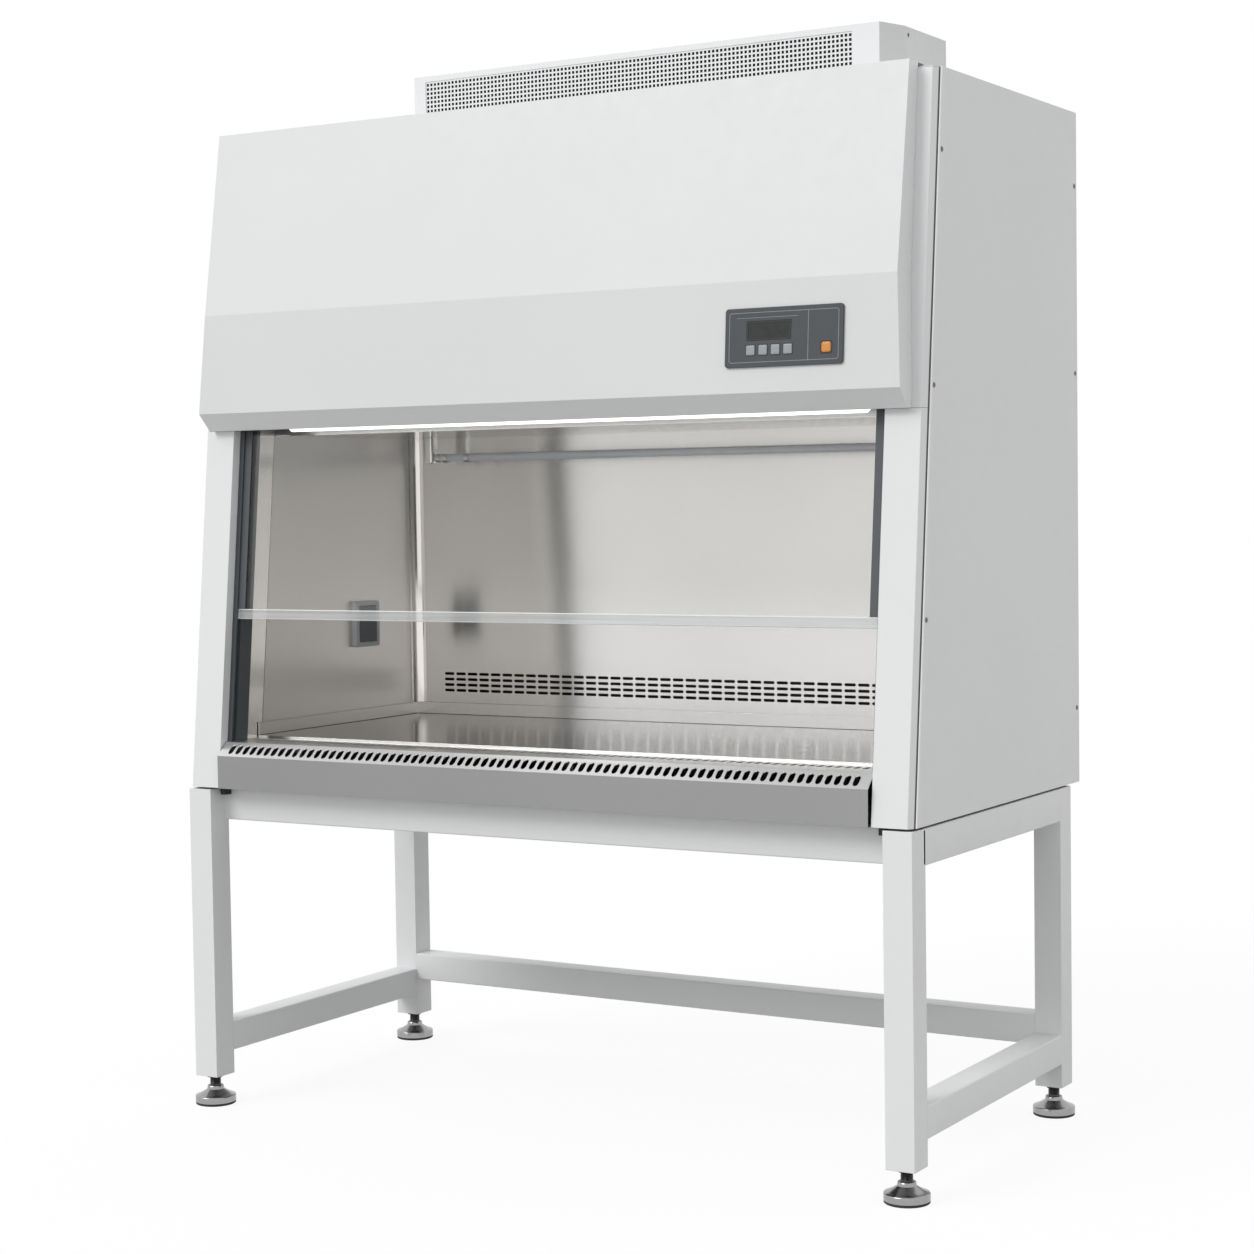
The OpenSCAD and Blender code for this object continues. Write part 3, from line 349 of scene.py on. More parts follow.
def make_finishes(settings):
    """Makes every material once, from the panel's colours."""
    paint, steel = tuple(settings.paint), tuple(settings.steel)
    FINISHES.update(
        paint=powder_coat("front_powder_coat", paint),
        # Shaded copies of the front paint for the hood's upper face and its lower band: painted shade, each
        # darker by how the light falls on it
        paint_high=powder_coat("upper_hood_shaded_coat", shade(paint, 0.935)),
        paint_low=powder_coat("lower_hood_shaded_coat", shade(paint, 0.90)),
        # Shaded copy of the front paint for the exhaust box's sides: painted shade
        paint_side=powder_coat("exhaust_side_shaded_coat", shade(paint, 0.86)),
        shell=powder_coat("shell_powder_coat", tuple(settings.shell)),
        # Near-black painted shadow for hollows and hidden parts: the base pan, the back panel's inside, behind
        # the exhaust grille, the tray's creases, round the display and the keys
        shadow=powder_coat("painted_shadow_coat", (0.020, 0.020, 0.021)),
        # Dark grey painted shade for the lamp canopy, so that the lamp's light doesn't show on it
        grey=powder_coat("canopy_painted_shade", (0.10, 0.10, 0.10)),
        # Painted shade for the grooves beside the pillars and cheeks
        groove=powder_coat("groove_painted_shade", (0.20, 0.20, 0.20)),
        # Painted highlight along the side panels' front lips
        lip=powder_coat("lip_painted_highlight", (0.93, 0.93, 0.93)),
        enamel=powder_coat("motor_enamel", (0.09, 0.10, 0.12)),
        # Lit and shaded copies of one brushed steel, each as bright as its surface looks under the light:
        # painted light on the walls, the rear and the sill's slope, painted shade on the tray and the sill's
        # front face
        wall=brushed("brushed_wall_lit", shade(steel, 1.07), GRAIN_Z, (0.30, 0.38)),
        rear=brushed("brushed_rear_lit", (0.72, 0.712, 0.70), GRAIN_X, (0.18, 0.24), turn=0.25, stretch=0.85),
        tray=brushed("brushed_tray_shaded", (0.41, 0.405, 0.40), GRAIN_X, (0.13, 0.19), about="X"),
        sill=brushed("brushed_sill", (0.76, 0.76, 0.755), GRAIN_X, (0.26, 0.33), turn=0.25),
        sill_face=brushed("brushed_sill_face_shaded", (0.280, 0.280, 0.280), GRAIN_X, (0.30, 0.40), turn=0.25),
        cove=brushed("polished_cove", shade(steel, 1.25), GRAIN_Z, (0.10, 0.16), stretch=0.3),
        trim=brushed("polished_trim", shade(steel, 1.2), GRAIN_Z, (0.16, 0.22)),
        ceiling=brushed("bright_ceiling", shade(steel, 1.1), GRAIN_X, (0.08, 0.14), about="X"),
        machined=machined("ground_steel", (0.55, 0.55, 0.56)),
        turned=machined("turned_feet", (0.36, 0.36, 0.365), 0.2),
        thread=machined("threaded_stem", (0.11, 0.11, 0.11), 0.3),
        screw=machined("dark_screws", (0.16, 0.16, 0.165), 0.24),
        cap=machined("tube_caps", (0.62, 0.62, 0.63), 0.2),
        black_steel=machined("blackened_steel", (0.05, 0.05, 0.05), 0.4),
        cast=cast_paint("cast_weight", (0.16, 0.16, 0.17)),
        zinc=galvanised("zinc_sheet", (0.55, 0.56, 0.57)),
        medium=filter_medium("filter_medium", (0.86, 0.86, 0.84)),
        rubber=rubber("black_rubber", (0.022, 0.022, 0.023)),
        glass=clear_glass("sash_glass"),
        grip=frosted("clear_rail", (0.80, 0.81, 0.81), 0.34),
        # Painted highlight along the clear grip rail's edges
        rail_edge=frosted("clear_rail_edge_highlight", (0.92, 0.93, 0.93), 0.85),
        lamp=glowing("white_lamp", (1.0, 0.99, 0.96), 1.9),
        uv=plastic("germicidal_glass", (0.70, 0.75, 0.82), 0.12, 50, 0.01),
        profile=plastic("anodised_profile", tuple(settings.profile), 0.42, 900, 0.06),
        bezel=plastic("panel_membrane", tuple(settings.bezel), 0.5, 2600, 0.1),
        line=plastic("printed_line", (0.27, 0.29, 0.31), 0.5, 2600, 0.05),
        display=plastic("display_window", (0.008, 0.009, 0.010), 0.32, 600, 0.01),
        moulded=plastic("moulded_grey", (0.22, 0.22, 0.23), 0.5),
        soft_key=plastic("soft_key", tuple(settings.soft_key), 0.45, 2200, 0.08),
        power_key=plastic("power_key", tuple(settings.power_key), 0.4, 2200, 0.08),
        socket=plastic("lamp_socket", (0.06, 0.06, 0.07), 0.45),
        outlet=plastic("outlet_frame", (0.58, 0.60, 0.61), 0.35, 900, 0.05),
        flap=plastic("outlet_flap", tuple(settings.flap), 0.35, 1200, 0.08),
    )


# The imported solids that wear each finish
NODE_FINISH = {
    "paint": ["legs", "upper_rails", "lower_bars", "pillar_left", "pillar_right", "upper_cheeks", "hood",
              "exhaust_box", "exhaust_grille"],
    "shell": ["side_panel_left", "side_panel_right", "back_panel", "top_panel"],
    # The work zone's steel parts wear lit and shaded copies of one steel: painted light and shade
    "wall": ["side_liners"], "rear": ["rear_liner"], "tray": ["work_tray"], "sill": ["front_grille"],
    # The lamp canopy wears a painted shade
    "ceiling": ["ceiling_diffuser"], "grey": ["lamp_canopy"],
    "machined": ["tray_posts", "lift_shaft", "idler_left", "idler_right", "blower_wheel"],
    "screw": ["panel_screws"],
    "turned": ["foot_front_left", "foot_front_right", "foot_rear_left", "foot_rear_right"],
    "black_steel": ["foot_lock_nuts", "drive_brackets"],
    "profile": ["sash_edge_profiles", "sash_guides"], "glass": ["sash_glass"], "grip": ["sash_grip_rail"],
    "bezel": ["control_bezel"], "display": ["display_window"], "moulded": ["control_box"],
    "soft_key": ["key_1", "key_2", "key_3", "key_4"], "power_key": ["power_key"],
    "rubber": ["base_pads", "lift_belts"], "cast": ["counterweight_left", "counterweight_right"],
    "lamp": ["lamp_tube"], "uv": ["uv_tube"], "socket": ["lamp_sockets", "power_inlet"],
    "outlet": ["outlet_frame"], "flap": ["outlet_flap"], "medium": ["supply_filter", "exhaust_filter"],
    # The base pan, seen through the grille's slots, wears painted shadow
    "zinc": ["plenum_divider", "blower_housing"], "shadow": ["base_pan"], "enamel": ["blower_motor"],
}


def wear(obj, finish):
    """Gives an object one material."""
    obj.data.materials.clear()
    obj.data.materials.append(FINISHES[finish])


def second(obj, finish, choose):
    """Gives the faces that choose picks another material."""
    obj.data.materials.append(FINISHES[finish])
    for face in obj.data.polygons:
        if choose(face):
            face.material_index = len(obj.data.materials) - 1


# ---------------------------------------------------------------- shapes

def read(items, attribute, width):
    """One attribute of a mesh's corners or faces as an array, with width numbers in a row."""
    values = np.empty(len(items) * width)
    items.foreach_get(attribute, values)
    return values.reshape(-1, width)


def corners_of(name):
    """A solid's corners as rows of x, y and z."""
    return read(CAD[name].data.vertices, "co", 3)


def middle_of(name):
    """The middle of a solid's box."""
    low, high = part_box(name)
    return (low + high) / 2


def half_length(name):
    """Half of a solid's length across the cabinet."""
    low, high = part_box(name)
    return (high.x - low.x) / 2


def sheet_of(points, loop_u=False, loop_v=False):
    """A grid of points (rows, columns, 3) as corners and four-sided faces; loop_u and loop_v close it."""
    rows, columns = points.shape[:2]
    index = np.arange(rows * columns).reshape(rows, columns)
    if loop_u:
        index = np.vstack([index, index[:1]])
    if loop_v:
        index = np.hstack([index, index[:, :1]])
    faces = np.stack([index[:-1, :-1], index[1:, :-1], index[1:, 1:], index[:-1, 1:]], -1)
    return points.reshape(-1, 3), faces.reshape(-1, 4).tolist()


def joined(parts):
    """Several (corners, faces) pairs as one."""
    corners, faces, start = [], [], 0
    for points, polygons in parts:
        corners.append(points)
        faces += [tuple(corner + start for corner in polygon) for polygon in polygons]
        start += len(points)
    return np.vstack(corners), faces


def moved(part, place):
    """A part carried to a place."""
    return part[0] + np.array(place, float), part[1]


def set_on(part, x_axis, y_axis, z_axis, place):
    """Turns a part's axes to three directions and moves it to its place."""
    points, faces = part
    return points @ np.array([x_axis, y_axis, z_axis], float) + np.array(place, float), faces


def revolved(profile, turns=48, thread=None):
    """A profile of (radius, height) rows turned about Z.

    thread gives each row's swing and the pitch: the radius adds a triangle wave of the height in
    pitches less the turn, so that its crest is a helix.
    """
    profile = np.asarray(profile, float)
    angle = np.arange(turns) * 2 * math.pi / turns
    radius = np.repeat(profile[:, :1], turns, 1)
    height = np.repeat(profile[:, 1:2], turns, 1)
    if thread is not None:
        swing, pitch = thread
        phase = (height / pitch - angle / (2 * math.pi)) % 1.0
        radius = radius + np.asarray(swing)[:, None] * (1 - 4 * np.abs(phase - 0.5))
    return sheet_of(np.stack([radius * np.cos(angle), radius * np.sin(angle), height], -1), loop_v=True)


def rod(profile, turns=32):
    """A profile of (radius, place) rows turned about X."""
    points, faces = revolved(profile, turns)
    return points[:, [2, 0, 1]], faces


def rounded_loop(width, height, radius, steps=6):
    """Points round a rectangle, anticlockwise: each corner is a quarter circle about its own centre."""
    quarter = np.linspace(0, math.pi / 2, steps)
    loop = []
    for corner, (x, y) in enumerate(((1, 1), (-1, 1), (-1, -1), (1, -1))):
        angle = quarter + corner * math.pi / 2
        loop.append(np.stack([x * (width / 2 - radius) + radius * np.cos(angle),
                              y * (height / 2 - radius) + radius * np.sin(angle)], -1))
    return np.vstack(loop)


def plateau(width, height, radius, profile, steps=6):
    """Rounded rectangles stacked by (inset, height) rows: each row draws the outline in by its inset.

    The last row is closed.
    """
    rings = []
    for inset, level in profile:
        corner = max(radius - inset, radius * 0.3, 0.0002)
        loop = rounded_loop(width - 2 * inset, height - 2 * inset, corner, steps)
        rings.append(np.column_stack([loop, np.full(len(loop), level)]))
    points, faces = sheet_of(np.stack(rings), loop_v=True)
    last = len(points) - 4 * steps
    return points, faces + [tuple(range(last, len(points)))]


def prism(loop, low, high):
    """A closed outline of (x, y) rows raised from low to high, with both ends closed."""
    loop = np.asarray(loop, float)
    count = len(loop)
    ends = [np.column_stack([loop, np.full(count, level)]) for level in (low, high)]
    points, faces = sheet_of(np.stack(ends), loop_v=True)
    return points, faces + [tuple(range(count - 1, -1, -1)), tuple(range(count, 2 * count))]


def block(x, y, z):
    """A plain block between two values on each axis."""
    return prism([(x[0], y[0]), (x[1], y[0]), (x[1], y[1]), (x[0], y[1])], z[0], z[1])


def ring(width, height, radius, line, rise, ease):
    """A flat frame: a rounded rectangle's outer and inner outline, each eased between side and top."""
    rows = [(0, 0), (0, rise - ease), (ease, rise), (line - ease, rise), (line, rise - ease), (line, 0)]
    loops = []
    for inset, level in rows:
        loop = rounded_loop(width - 2 * inset, height - 2 * inset, max(radius - inset, 0.0003))
        loops.append(np.column_stack([loop, np.full(len(loop), level)]))
    return sheet_of(np.stack(loops), loop_u=True, loop_v=True)


def square_tube(low, high, axis, wall=0.002, radius=0.003):
    """A rounded outline carried along an axis from low to high, and back inside it by the wall."""
    low, high = np.array(low), np.array(high)
    u, v = [other for other in range(3) if other != axis]
    size, middle = high - low, (high + low) / 2
    rows = []
    for inset, end in ((0, low), (0, high), (wall, high), (wall, low)):
        loop = rounded_loop(size[u] - 2 * inset, size[v] - 2 * inset, radius - inset, 5)
        points = np.full((len(loop), 3), end[axis])
        points[:, u] = loop[:, 0] + middle[u]
        points[:, v] = loop[:, 1] + middle[v]
        rows.append(points)
    return sheet_of(np.stack(rows), loop_u=True, loop_v=True)


def perforated(low, high, pitch, hole):
    """A sheet with square holes on a square grid: one cell of twelve faces, repeated, inside a plain border.

    As many whole cells as fit lie in the middle, inside the two margins.
    """
    end_margin, edge_margin, cell_corners = 0.010, 0.004, 16
    width, height = high.x - low.x, high.z - low.z
    across, up = int((width - 2 * end_margin) / pitch), int((height - 2 * edge_margin) / pitch)
    left, foot = low.x + (width - across * pitch) / 2, low.z + (height - up * pitch) / 2
    right, top = left + across * pitch, foot + up * pitch
    square = np.array([(-1, -1), (1, -1), (1, 1), (-1, 1)]) / 2
    cell = np.vstack([np.column_stack([square[:, 0] * size, np.full(4, y), square[:, 1] * size])
                      for y in (low.y, high.y) for size in (pitch, hole)])
    centres = np.stack(np.meshgrid(left + (np.arange(across) + 0.5) * pitch, [0.0],
                                   foot + (np.arange(up) + 0.5) * pitch, indexing="ij"), -1).reshape(-1, 1, 3)
    points = (cell[None] + centres).reshape(-1, 3)
    i = np.arange(4)
    j = (i + 1) % 4
    quads = np.vstack([np.stack(quad, -1) for quad in (
        (i, j, j + 4, i + 4), (i + 8, i + 12, j + 12, j + 8), (i + 4, j + 4, j + 12, i + 12))])
    faces = (quads[None] + (np.arange(len(centres)) * cell_corners)[:, None, None]).reshape(-1, 4)
    inner = np.array([(left, foot), (right, foot), (right, top), (left, top)])
    outer = np.array([(low.x, low.z), (high.x, low.z), (high.x, high.z), (low.x, high.z)])
    loops = [np.column_stack([loop[:, 0], np.full(4, y), loop[:, 1]])
             for y, loop in ((low.y, inner), (low.y, outer), (high.y, outer), (high.y, inner))]
    return joined([(points, faces.tolist()), sheet_of(np.stack(loops), loop_v=True)])


def panel_lips():
    """Folded front edges of the side panels, made as bright beads of painted highlight: a rounded outline,
    carried up along the front's slope.
    """
    short, line_in, line_back = 0.0005, 0.00065, 0.0011
    outline = rounded_loop(0.0019, 0.0052, 0.0007, 4)
    count = len(outline)
    parts = []
    for side, name in ((-1, "side_panel_left"), (1, "side_panel_right")):
        corners = corners_of(name)
        low, high = corners[:, 2].min() + short, corners[:, 2].max() - short
        foot = corners[corners[:, 2] < low][:, 1].min()
        head = corners[corners[:, 2] > high][:, 1].min()
        x = side * (np.abs(corners[:, 0]).max() - line_in)
        rows = [np.column_stack([outline[:, 0] + x, outline[:, 1] + y + line_back, np.full(count, z)])
                for y, z in ((foot, low), (head, high))]
        points, faces = sheet_of(np.stack(rows), loop_v=True)
        parts.append((points, faces + [tuple(range(count)), tuple(range(count, 2 * count))]))
    return joined(parts)


def stand_tubes(name, side, height, lead=None):
    """The tubes of one level of the stand: one across the back and one along each side.

    Where lead is given, another runs across the front, that far before the solid's front.
    """
    low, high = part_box(name)
    end, back = high.x, high.y - side
    parts = [square_tube((-end + side, back, high.z - height), (end - side, high.y, high.z), 0)]
    if lead is not None:
        front = low.y - lead
        parts.append(square_tube((-end + side, front, low.z), (end - side, front + side, high.z), 0))
    parts += [square_tube((x, low.y, low.z), (x + side, back, low.z + height), 1) for x in (-end, end - side)]
    return joined(parts)


def tray_crease_shade():
    """Thin strips of painted shade where the tray's floor meets its two sides and its back."""
    inset, wide, start, back, thick, depth = 0.0015, 0.003, 0.002, 0.0015, 0.0006, 0.025
    low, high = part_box("work_tray")
    level = (high.z - depth, high.z - depth + thick)
    run = (low.y + start, high.y - back)
    left = (low.x + inset, low.x + inset + wide)
    right = (high.x - inset - wide, high.x - inset)
    return joined([block(left, run, level), block(right, run, level),
                   block((left[1], right[0]), (run[1] - wide, run[1]), level)])


def foot_shape(top):
    """A turned foot: a rim, a hollowed cone, a collar and a stem with a thread.

    The cone's radius falls, and its height grows, by a power of the way up it.
    """
    stem_radius, thread_depth, thread_pitch, chamfer = 0.0104, 0.0006, 0.0025, 0.0006
    way = np.linspace(0, 1, 9)
    rim = [(0, 0.004), (0.0388, 0.004), (0.0399, 0.0049), (0.04, 0.0155), (0.0396, 0.0166)]
    cone = np.column_stack([0.039 - 0.0225 * way ** 0.86, 0.0172 + 0.0118 * way ** 1.15])
    collar = [(0.0164, 0.0300), (0.0160, 0.0345), (0.0150, 0.0358), (0.0118, 0.0360)]
    height = np.linspace(0.0362, top - chamfer, 220)
    stem = np.column_stack([np.full(len(height), stem_radius), height])
    swing = np.where((height > 0.0385) & (height < top - 0.002), thread_depth, 0.0)
    body = np.vstack([rim, cone, collar])
    rows = np.vstack([body, stem, [(0.0095, top), (0, top)]])
    swings = np.concatenate([np.zeros(len(body)), swing, [0, 0]])
    return revolved(rows, 64, (swings, thread_pitch))


def screw_places():
    """Side, place and radius of each panel screw, from the solid's corners that lie close together."""
    head_spread = 0.02
    corners = corners_of("panel_screws")
    places = []
    for side in (-1, 1):
        left = corners[corners[:, 0] * side > 0]
        while len(left):
            near = np.linalg.norm(left[:, 1:] - left[0, 1:], axis=1) < head_spread
            group = left[near]
            low, high = group.min(0), group.max(0)
            places.append((side, np.abs(group[:, 0]).min(), (low[1] + high[1]) / 2, (low[2] + high[2]) / 2,
                           (high[1] - low[1]) / 2))
            left = left[~near]
    return places


def button_heads():
    """Button heads: a flat ellipsoid's cap over each shank, less a cross-shaped recess.

    The recess is where the nearer of the two axes is close and the farther one's distance is short, with
    slanted walls, and it is deepest in the middle.
    """
    # All in screw radii, but for the cap's fullness and the turns
    cap_height, fullness, sunk, rim = 0.5, 0.93, 0.13, 0.02
    arm_width, arm_length, width_slant, length_slant, depth = 0.19, 0.62, 0.10, 0.12, 0.30
    way, angle = np.meshgrid(np.linspace(0, 1, 15), np.arange(40) * 2 * math.pi / 40, indexing="ij")
    u, v = way * np.cos(angle), way * np.sin(angle)
    near, far = np.minimum(np.abs(u), np.abs(v)), np.maximum(np.abs(u), np.abs(v))
    cross = np.clip((arm_width - near) / width_slant, 0, 1) * np.clip((arm_length - far) / length_slant, 0, 1)
    dome = cap_height * np.sqrt(1 - fullness * way ** 2) - sunk
    rise = np.maximum(dome - depth * cross * (1 - 0.5 * way), rim)
    parts = []
    for side, x, y, z, radius in screw_places():
        points = np.stack([side * (x + rise * radius), y + u * radius, z + v * radius], -1)
        skirt = points[-1:].copy()
        skirt[..., 0] = side * x
        parts.append(sheet_of(np.concatenate([points, skirt]), loop_v=True))
    return joined(parts)


def tube_glass(half, radius):
    """A lamp's glass, twice half long: a rod whose ends draw in along a quarter of an ellipse."""
    shoulder, taper, tip, drawn_in = 0.016, 0.006, 0.006, 0.65
    angle = np.linspace(0, math.pi / 2, 6)
    end = np.column_stack([radius * (1 - drawn_in + drawn_in * np.cos(angle)),
                           half - shoulder + taper * np.sin(angle)])
    return rod(np.vstack([(0, -half + tip), end[::-1] * (1, -1), end, (0, half - tip)]))


def tube_caps(half, radius):
    """Metal caps over both ends of a lamp, twice half long, each stepped down to its pin."""
    pin = 0.0042
    rows = [(0, half - 0.0165), (radius + 0.0005, half - 0.0165), (radius + 0.0010, half - 0.0160),
            (radius + 0.0010, half - 0.0045), (radius * 0.75, half - 0.0028), (pin, half - 0.0026),
            (pin, half), (0, half)]
    return joined([rod([(out, side * along) for out, along in rows]) for side in (-1, 1)])


def tube_holders(tube, seat, width, depth, radius, foot_rows, rise):
    """Two blocks that hold a tube's ends: rounded rectangles stacked from an eased foot up to their seat.

    rise is the foot's height over the tube's middle line.
    """
    beyond, gap = 0.012, 0.001
    high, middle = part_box(tube)[1], middle_of(tube)
    foot = middle.z + rise
    holder = plateau(width, depth, radius, foot_rows + [(0, seat - gap - foot)])
    return joined([moved(holder, (side * (high.x + beyond), middle.y, foot)) for side in (-1, 1)])


def tube_clips(tube):
    """Four open straps round a tube: three quarters of a ring, its gap at the top, carried along the tube."""
    outer, inner, length = 0.0112, 0.0098, 0.012
    high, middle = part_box(tube)[1], middle_of(tube)
    angle = np.linspace(-0.75 * math.pi, 0.75 * math.pi, 25) + math.pi / 2
    arc = np.column_stack([np.cos(angle), np.sin(angle)])
    points, faces = prism(np.vstack([outer * arc, inner * arc[::-1]]), 0, length)
    strap = points[:, [2, 0, 1]] * (1, 1, -1), faces
    return joined([moved(strap, (side * (high.x - shift) - length / 2, middle.y, middle.z))
                   for side in (-1, 1) for shift in (0.030, 0.085)])


# ---------------------------------------------------------------- pieces

def finish_smooth(mesh, degrees):
    """Smooth shading, with edges sharper than the angle kept sharp."""
    if degrees:
        mesh.shade_smooth()
        mesh.set_sharp_from_angle(angle=math.radians(degrees))


def linked(name, data):
    """A new object in the scene."""
    obj = bpy.data.objects.new(name, data)
    bpy.context.scene.collection.objects.link(obj)
    return obj


def piece(name, part, finish, body, replaced=(), smooth=40):
    """Makes an object of one part, in place, riding on a body; it stands for the replaced solids."""
    points, faces = part
    mesh = bpy.data.meshes.new(name)
    mesh.from_pydata(points.tolist(), [], faces)
    bm = bmesh.new()
    bm.from_mesh(mesh)
    bmesh.ops.remove_doubles(bm, verts=bm.verts, dist=SAME_CORNER)
    bmesh.ops.recalc_face_normals(bm, faces=bm.faces)
    bm.to_mesh(mesh)
    bm.free()
    obj = linked(name, mesh)
    finish_smooth(mesh, smooth)
    mesh.materials.append(FINISHES[finish])
    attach(obj, body)
    if replaced:
        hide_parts(*replaced)
    return obj


def softened(name, width=0.0006, bend=0.0, segments=2, body="cabinet", least=0.25, even=True):
    """A copy of a solid, in its finish, with its edges eased by width.

    Folds longer than least are rounded by bend. even weighs the shading by the faces' areas.
    """
    mesh = CAD[name].data.copy()
    mesh.name = name + "_eased"
    bm = bmesh.new()
    bm.from_mesh(mesh)
    bmesh.ops.remove_doubles(bm, verts=bm.verts, dist=SAME_CORNER)
    bmesh.ops.dissolve_limit(bm, angle_limit=math.radians(SAME_FACE), verts=bm.verts, edges=bm.edges)
    if bend:
        flattest, sharpest = FOLD_ANGLES
        folds = [edge for edge in bm.edges if len(edge.link_faces) == 2 and edge.calc_length() > least
                 and flattest < math.degrees(edge.calc_face_angle(0)) < sharpest]
        bmesh.ops.bevel(bm, geom=folds, offset=bend, offset_type="OFFSET", segments=4, profile=0.5,
                        affect="EDGES", clamp_overlap=True)
    bm.to_mesh(mesh)
    bm.free()
    obj = linked(name + "_eased", mesh)
    if width:
        ease = obj.modifiers.new("ease", "BEVEL")
        ease.width = width
        ease.segments = segments
        ease.limit_method = "ANGLE"
        ease.angle_limit = math.radians(EASED_ANGLE)
        ease.use_clamp_overlap = True
        ease.harden_normals = not even
    finish_smooth(mesh, SHARP_ANGLE)
    if even:
        weigh = obj.modifiers.new("even", "WEIGHTED_NORMAL")
        weigh.mode = "FACE_AREA"
        weigh.weight = 100
        weigh.keep_sharp = True
    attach(obj, body)
    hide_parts(name)
    return obj


def facing(name):
    """Place, across, up and outward directions of a solid's front face.

    Outwards is the mean of the front faces' normals by area, up is square to it and to X, and the
    place is the middle of the corners that reach furthest outwards.
    """
    polygons = CAD[name].data.polygons
    normals, areas = read(polygons, "normal", 3), read(polygons, "area", 1)
    front = normals[:, 1] < -0.7
    out = (normals[front] * areas[front]).sum(0)
    out /= np.linalg.norm(out)
    across = np.array([1.0, 0.0, 0.0])
    up = np.cross(out, across)
    corners = corners_of(name)
    reach = corners @ out
    face = corners[reach > reach.max() - FLAT_WITHIN]
    middle = [(face @ axis).max() / 2 + (face @ axis).min() / 2 for axis in (across, up)]
    return across * middle[0] + up * middle[1] + out * reach.max(), across, up, out


# A key's cap, the crown's (inset, height) rows, how much wider its flange is, and the frame of painted shade
# round it
SOFT_KEY = {"width": 0.0162, "height": 0.0168, "corner": 0.0016, "flange": 0.0038,
            "crown": [(0, -0.0006), (0.0002, -0.0002), (0.0006, 0), (0.0030, 0.0001)],
            "frame": 0.0030, "frame_corner": 0.0030, "line": 0.0014, "rise": 0.00035}
POWER_KEY = {"width": 0.0178, "height": 0.0178, "corner": 0.0036, "flange": 0.0042,
             "crown": [(0, -0.0010), (0.0003, -0.0004), (0.0009, 0), (0.0040, 0.0002)],
             "frame": 0.0044, "frame_corner": 0.0045, "line": 0.0020, "rise": 0.0004}


def key_pieces(name, finish, key):
    """A key's cap over its flange, riding on the key, and a dark frame of painted shade round it on the panel.
    """
    neck, shoulder, foot, ease, flange_corner = -0.0056, -0.0058, -0.0072, 0.0008, 0.001
    panel, across, up, out = facing("control_bezel")
    crown = facing(name)[0]
    width, height, wider = key["width"], key["height"], key["flange"]
    cap = plateau(width, height, key["corner"], [(0, neck)] + key["crown"])
    flange = plateau(width + wider, height + wider, flange_corner,
                     [(0, foot), (0, shoulder), (ease, neck)])
    both = set_on(joined([cap, flange]), across, up, out, crown)
    piece(name + "_cap", both, finish, name, [name], smooth=35)
    # The near-black frame round the key is painted shade
    margin = key["frame"]
    edge = ring(width + margin, height + margin, key["frame_corner"], key["line"], key["rise"], 0.0001)
    on_panel = crown - out * ((crown - panel) @ out)
    piece(name + "_surround", set_on(edge, across, up, out, on_panel), "shadow", "cabinet")


# ---------------------------------------------------------------- operators

class CABINET_OT_finishes(bpy.types.Operator):
    """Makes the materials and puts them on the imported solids"""

    bl_idname = "cabinet.finishes"
    bl_label = "Finishes"

    def execute(self, context):
        make_finishes(context.scene.cabinet_finish)
        for finish, names in NODE_FINISH.items():
            for name in names:
                wear(CAD[name], finish)
        return {"FINISHED"}


class CABINET_OT_front(bpy.types.Operator):
    """Eases the pillars, the cheeks and the hood, with painted shade in the grooves and on the hood's bands,
    and adds the side panels' folded lips in a painted highlight
    """

    bl_idname = "cabinet.front"
    bl_label = "Pillars and hood"

    def execute(self, context):
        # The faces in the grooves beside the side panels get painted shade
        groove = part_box("upper_cheeks")[1].x - 0.003
        for name in ("pillar_left", "pillar_right", "upper_cheeks"):
            second(softened(name, 0.0004, bend=0.0006), "groove",
                   lambda face: abs(face.center.x) > groove and abs(face.normal.x) > 0.5)
        # Bright beads along the side panels' front edges: painted highlight
        piece("panel_lips", panel_lips(), "lip", "cabinet", smooth=30)
        low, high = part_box("hood")
        lip_top, fold_foot, fold_top, end = low.z + 0.032, low.z + 0.225, low.z + 0.227, high.x - 0.002
        hood = softened("hood", 0.0005, bend=0.0025)
        # The hood's upper front and its lower band get the shaded copies of the paint: painted shade
        second(hood, "paint_high", lambda face: face.center.z > fold_top and face.normal.y < -0.9)
        second(hood, "paint_low", lambda face: lip_top < face.center.z < fold_foot
               and abs(face.center.x) < end and face.normal.y < -0.9 and face.normal.z < 0.12)
        return {"FINISHED"}


class CABINET_OT_stand(bpy.types.Operator):
    """Eases the stand's legs and nuts, and makes its rails and bars as square tubes"""

    bl_idname = "cabinet.stand"
    bl_label = "Stand"

    def execute(self, context):
        bar_height, front_lead = 0.057, 0.006
        side = context.scene.cabinet_size.tube_side
        low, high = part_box("upper_rails")
        rail_height = high.z - low.z
        if 2 * side >= high.y - low.y:
            raise ValueError("The stand's tubes are too wide for its depth")
        softened("legs", 0.0018, segments=3, even=False)
        rails = stand_tubes("upper_rails", side, rail_height, front_lead)
        piece("upper_rails_tubes", rails, "paint", "cabinet", ["upper_rails"], smooth=35)
        bars = stand_tubes("lower_bars", side, bar_height)
        piece("lower_bars_tubes", bars, "paint", "cabinet", ["lower_bars"], smooth=35)
        softened("foot_lock_nuts", 0.0006)
        return {"FINISHED"}


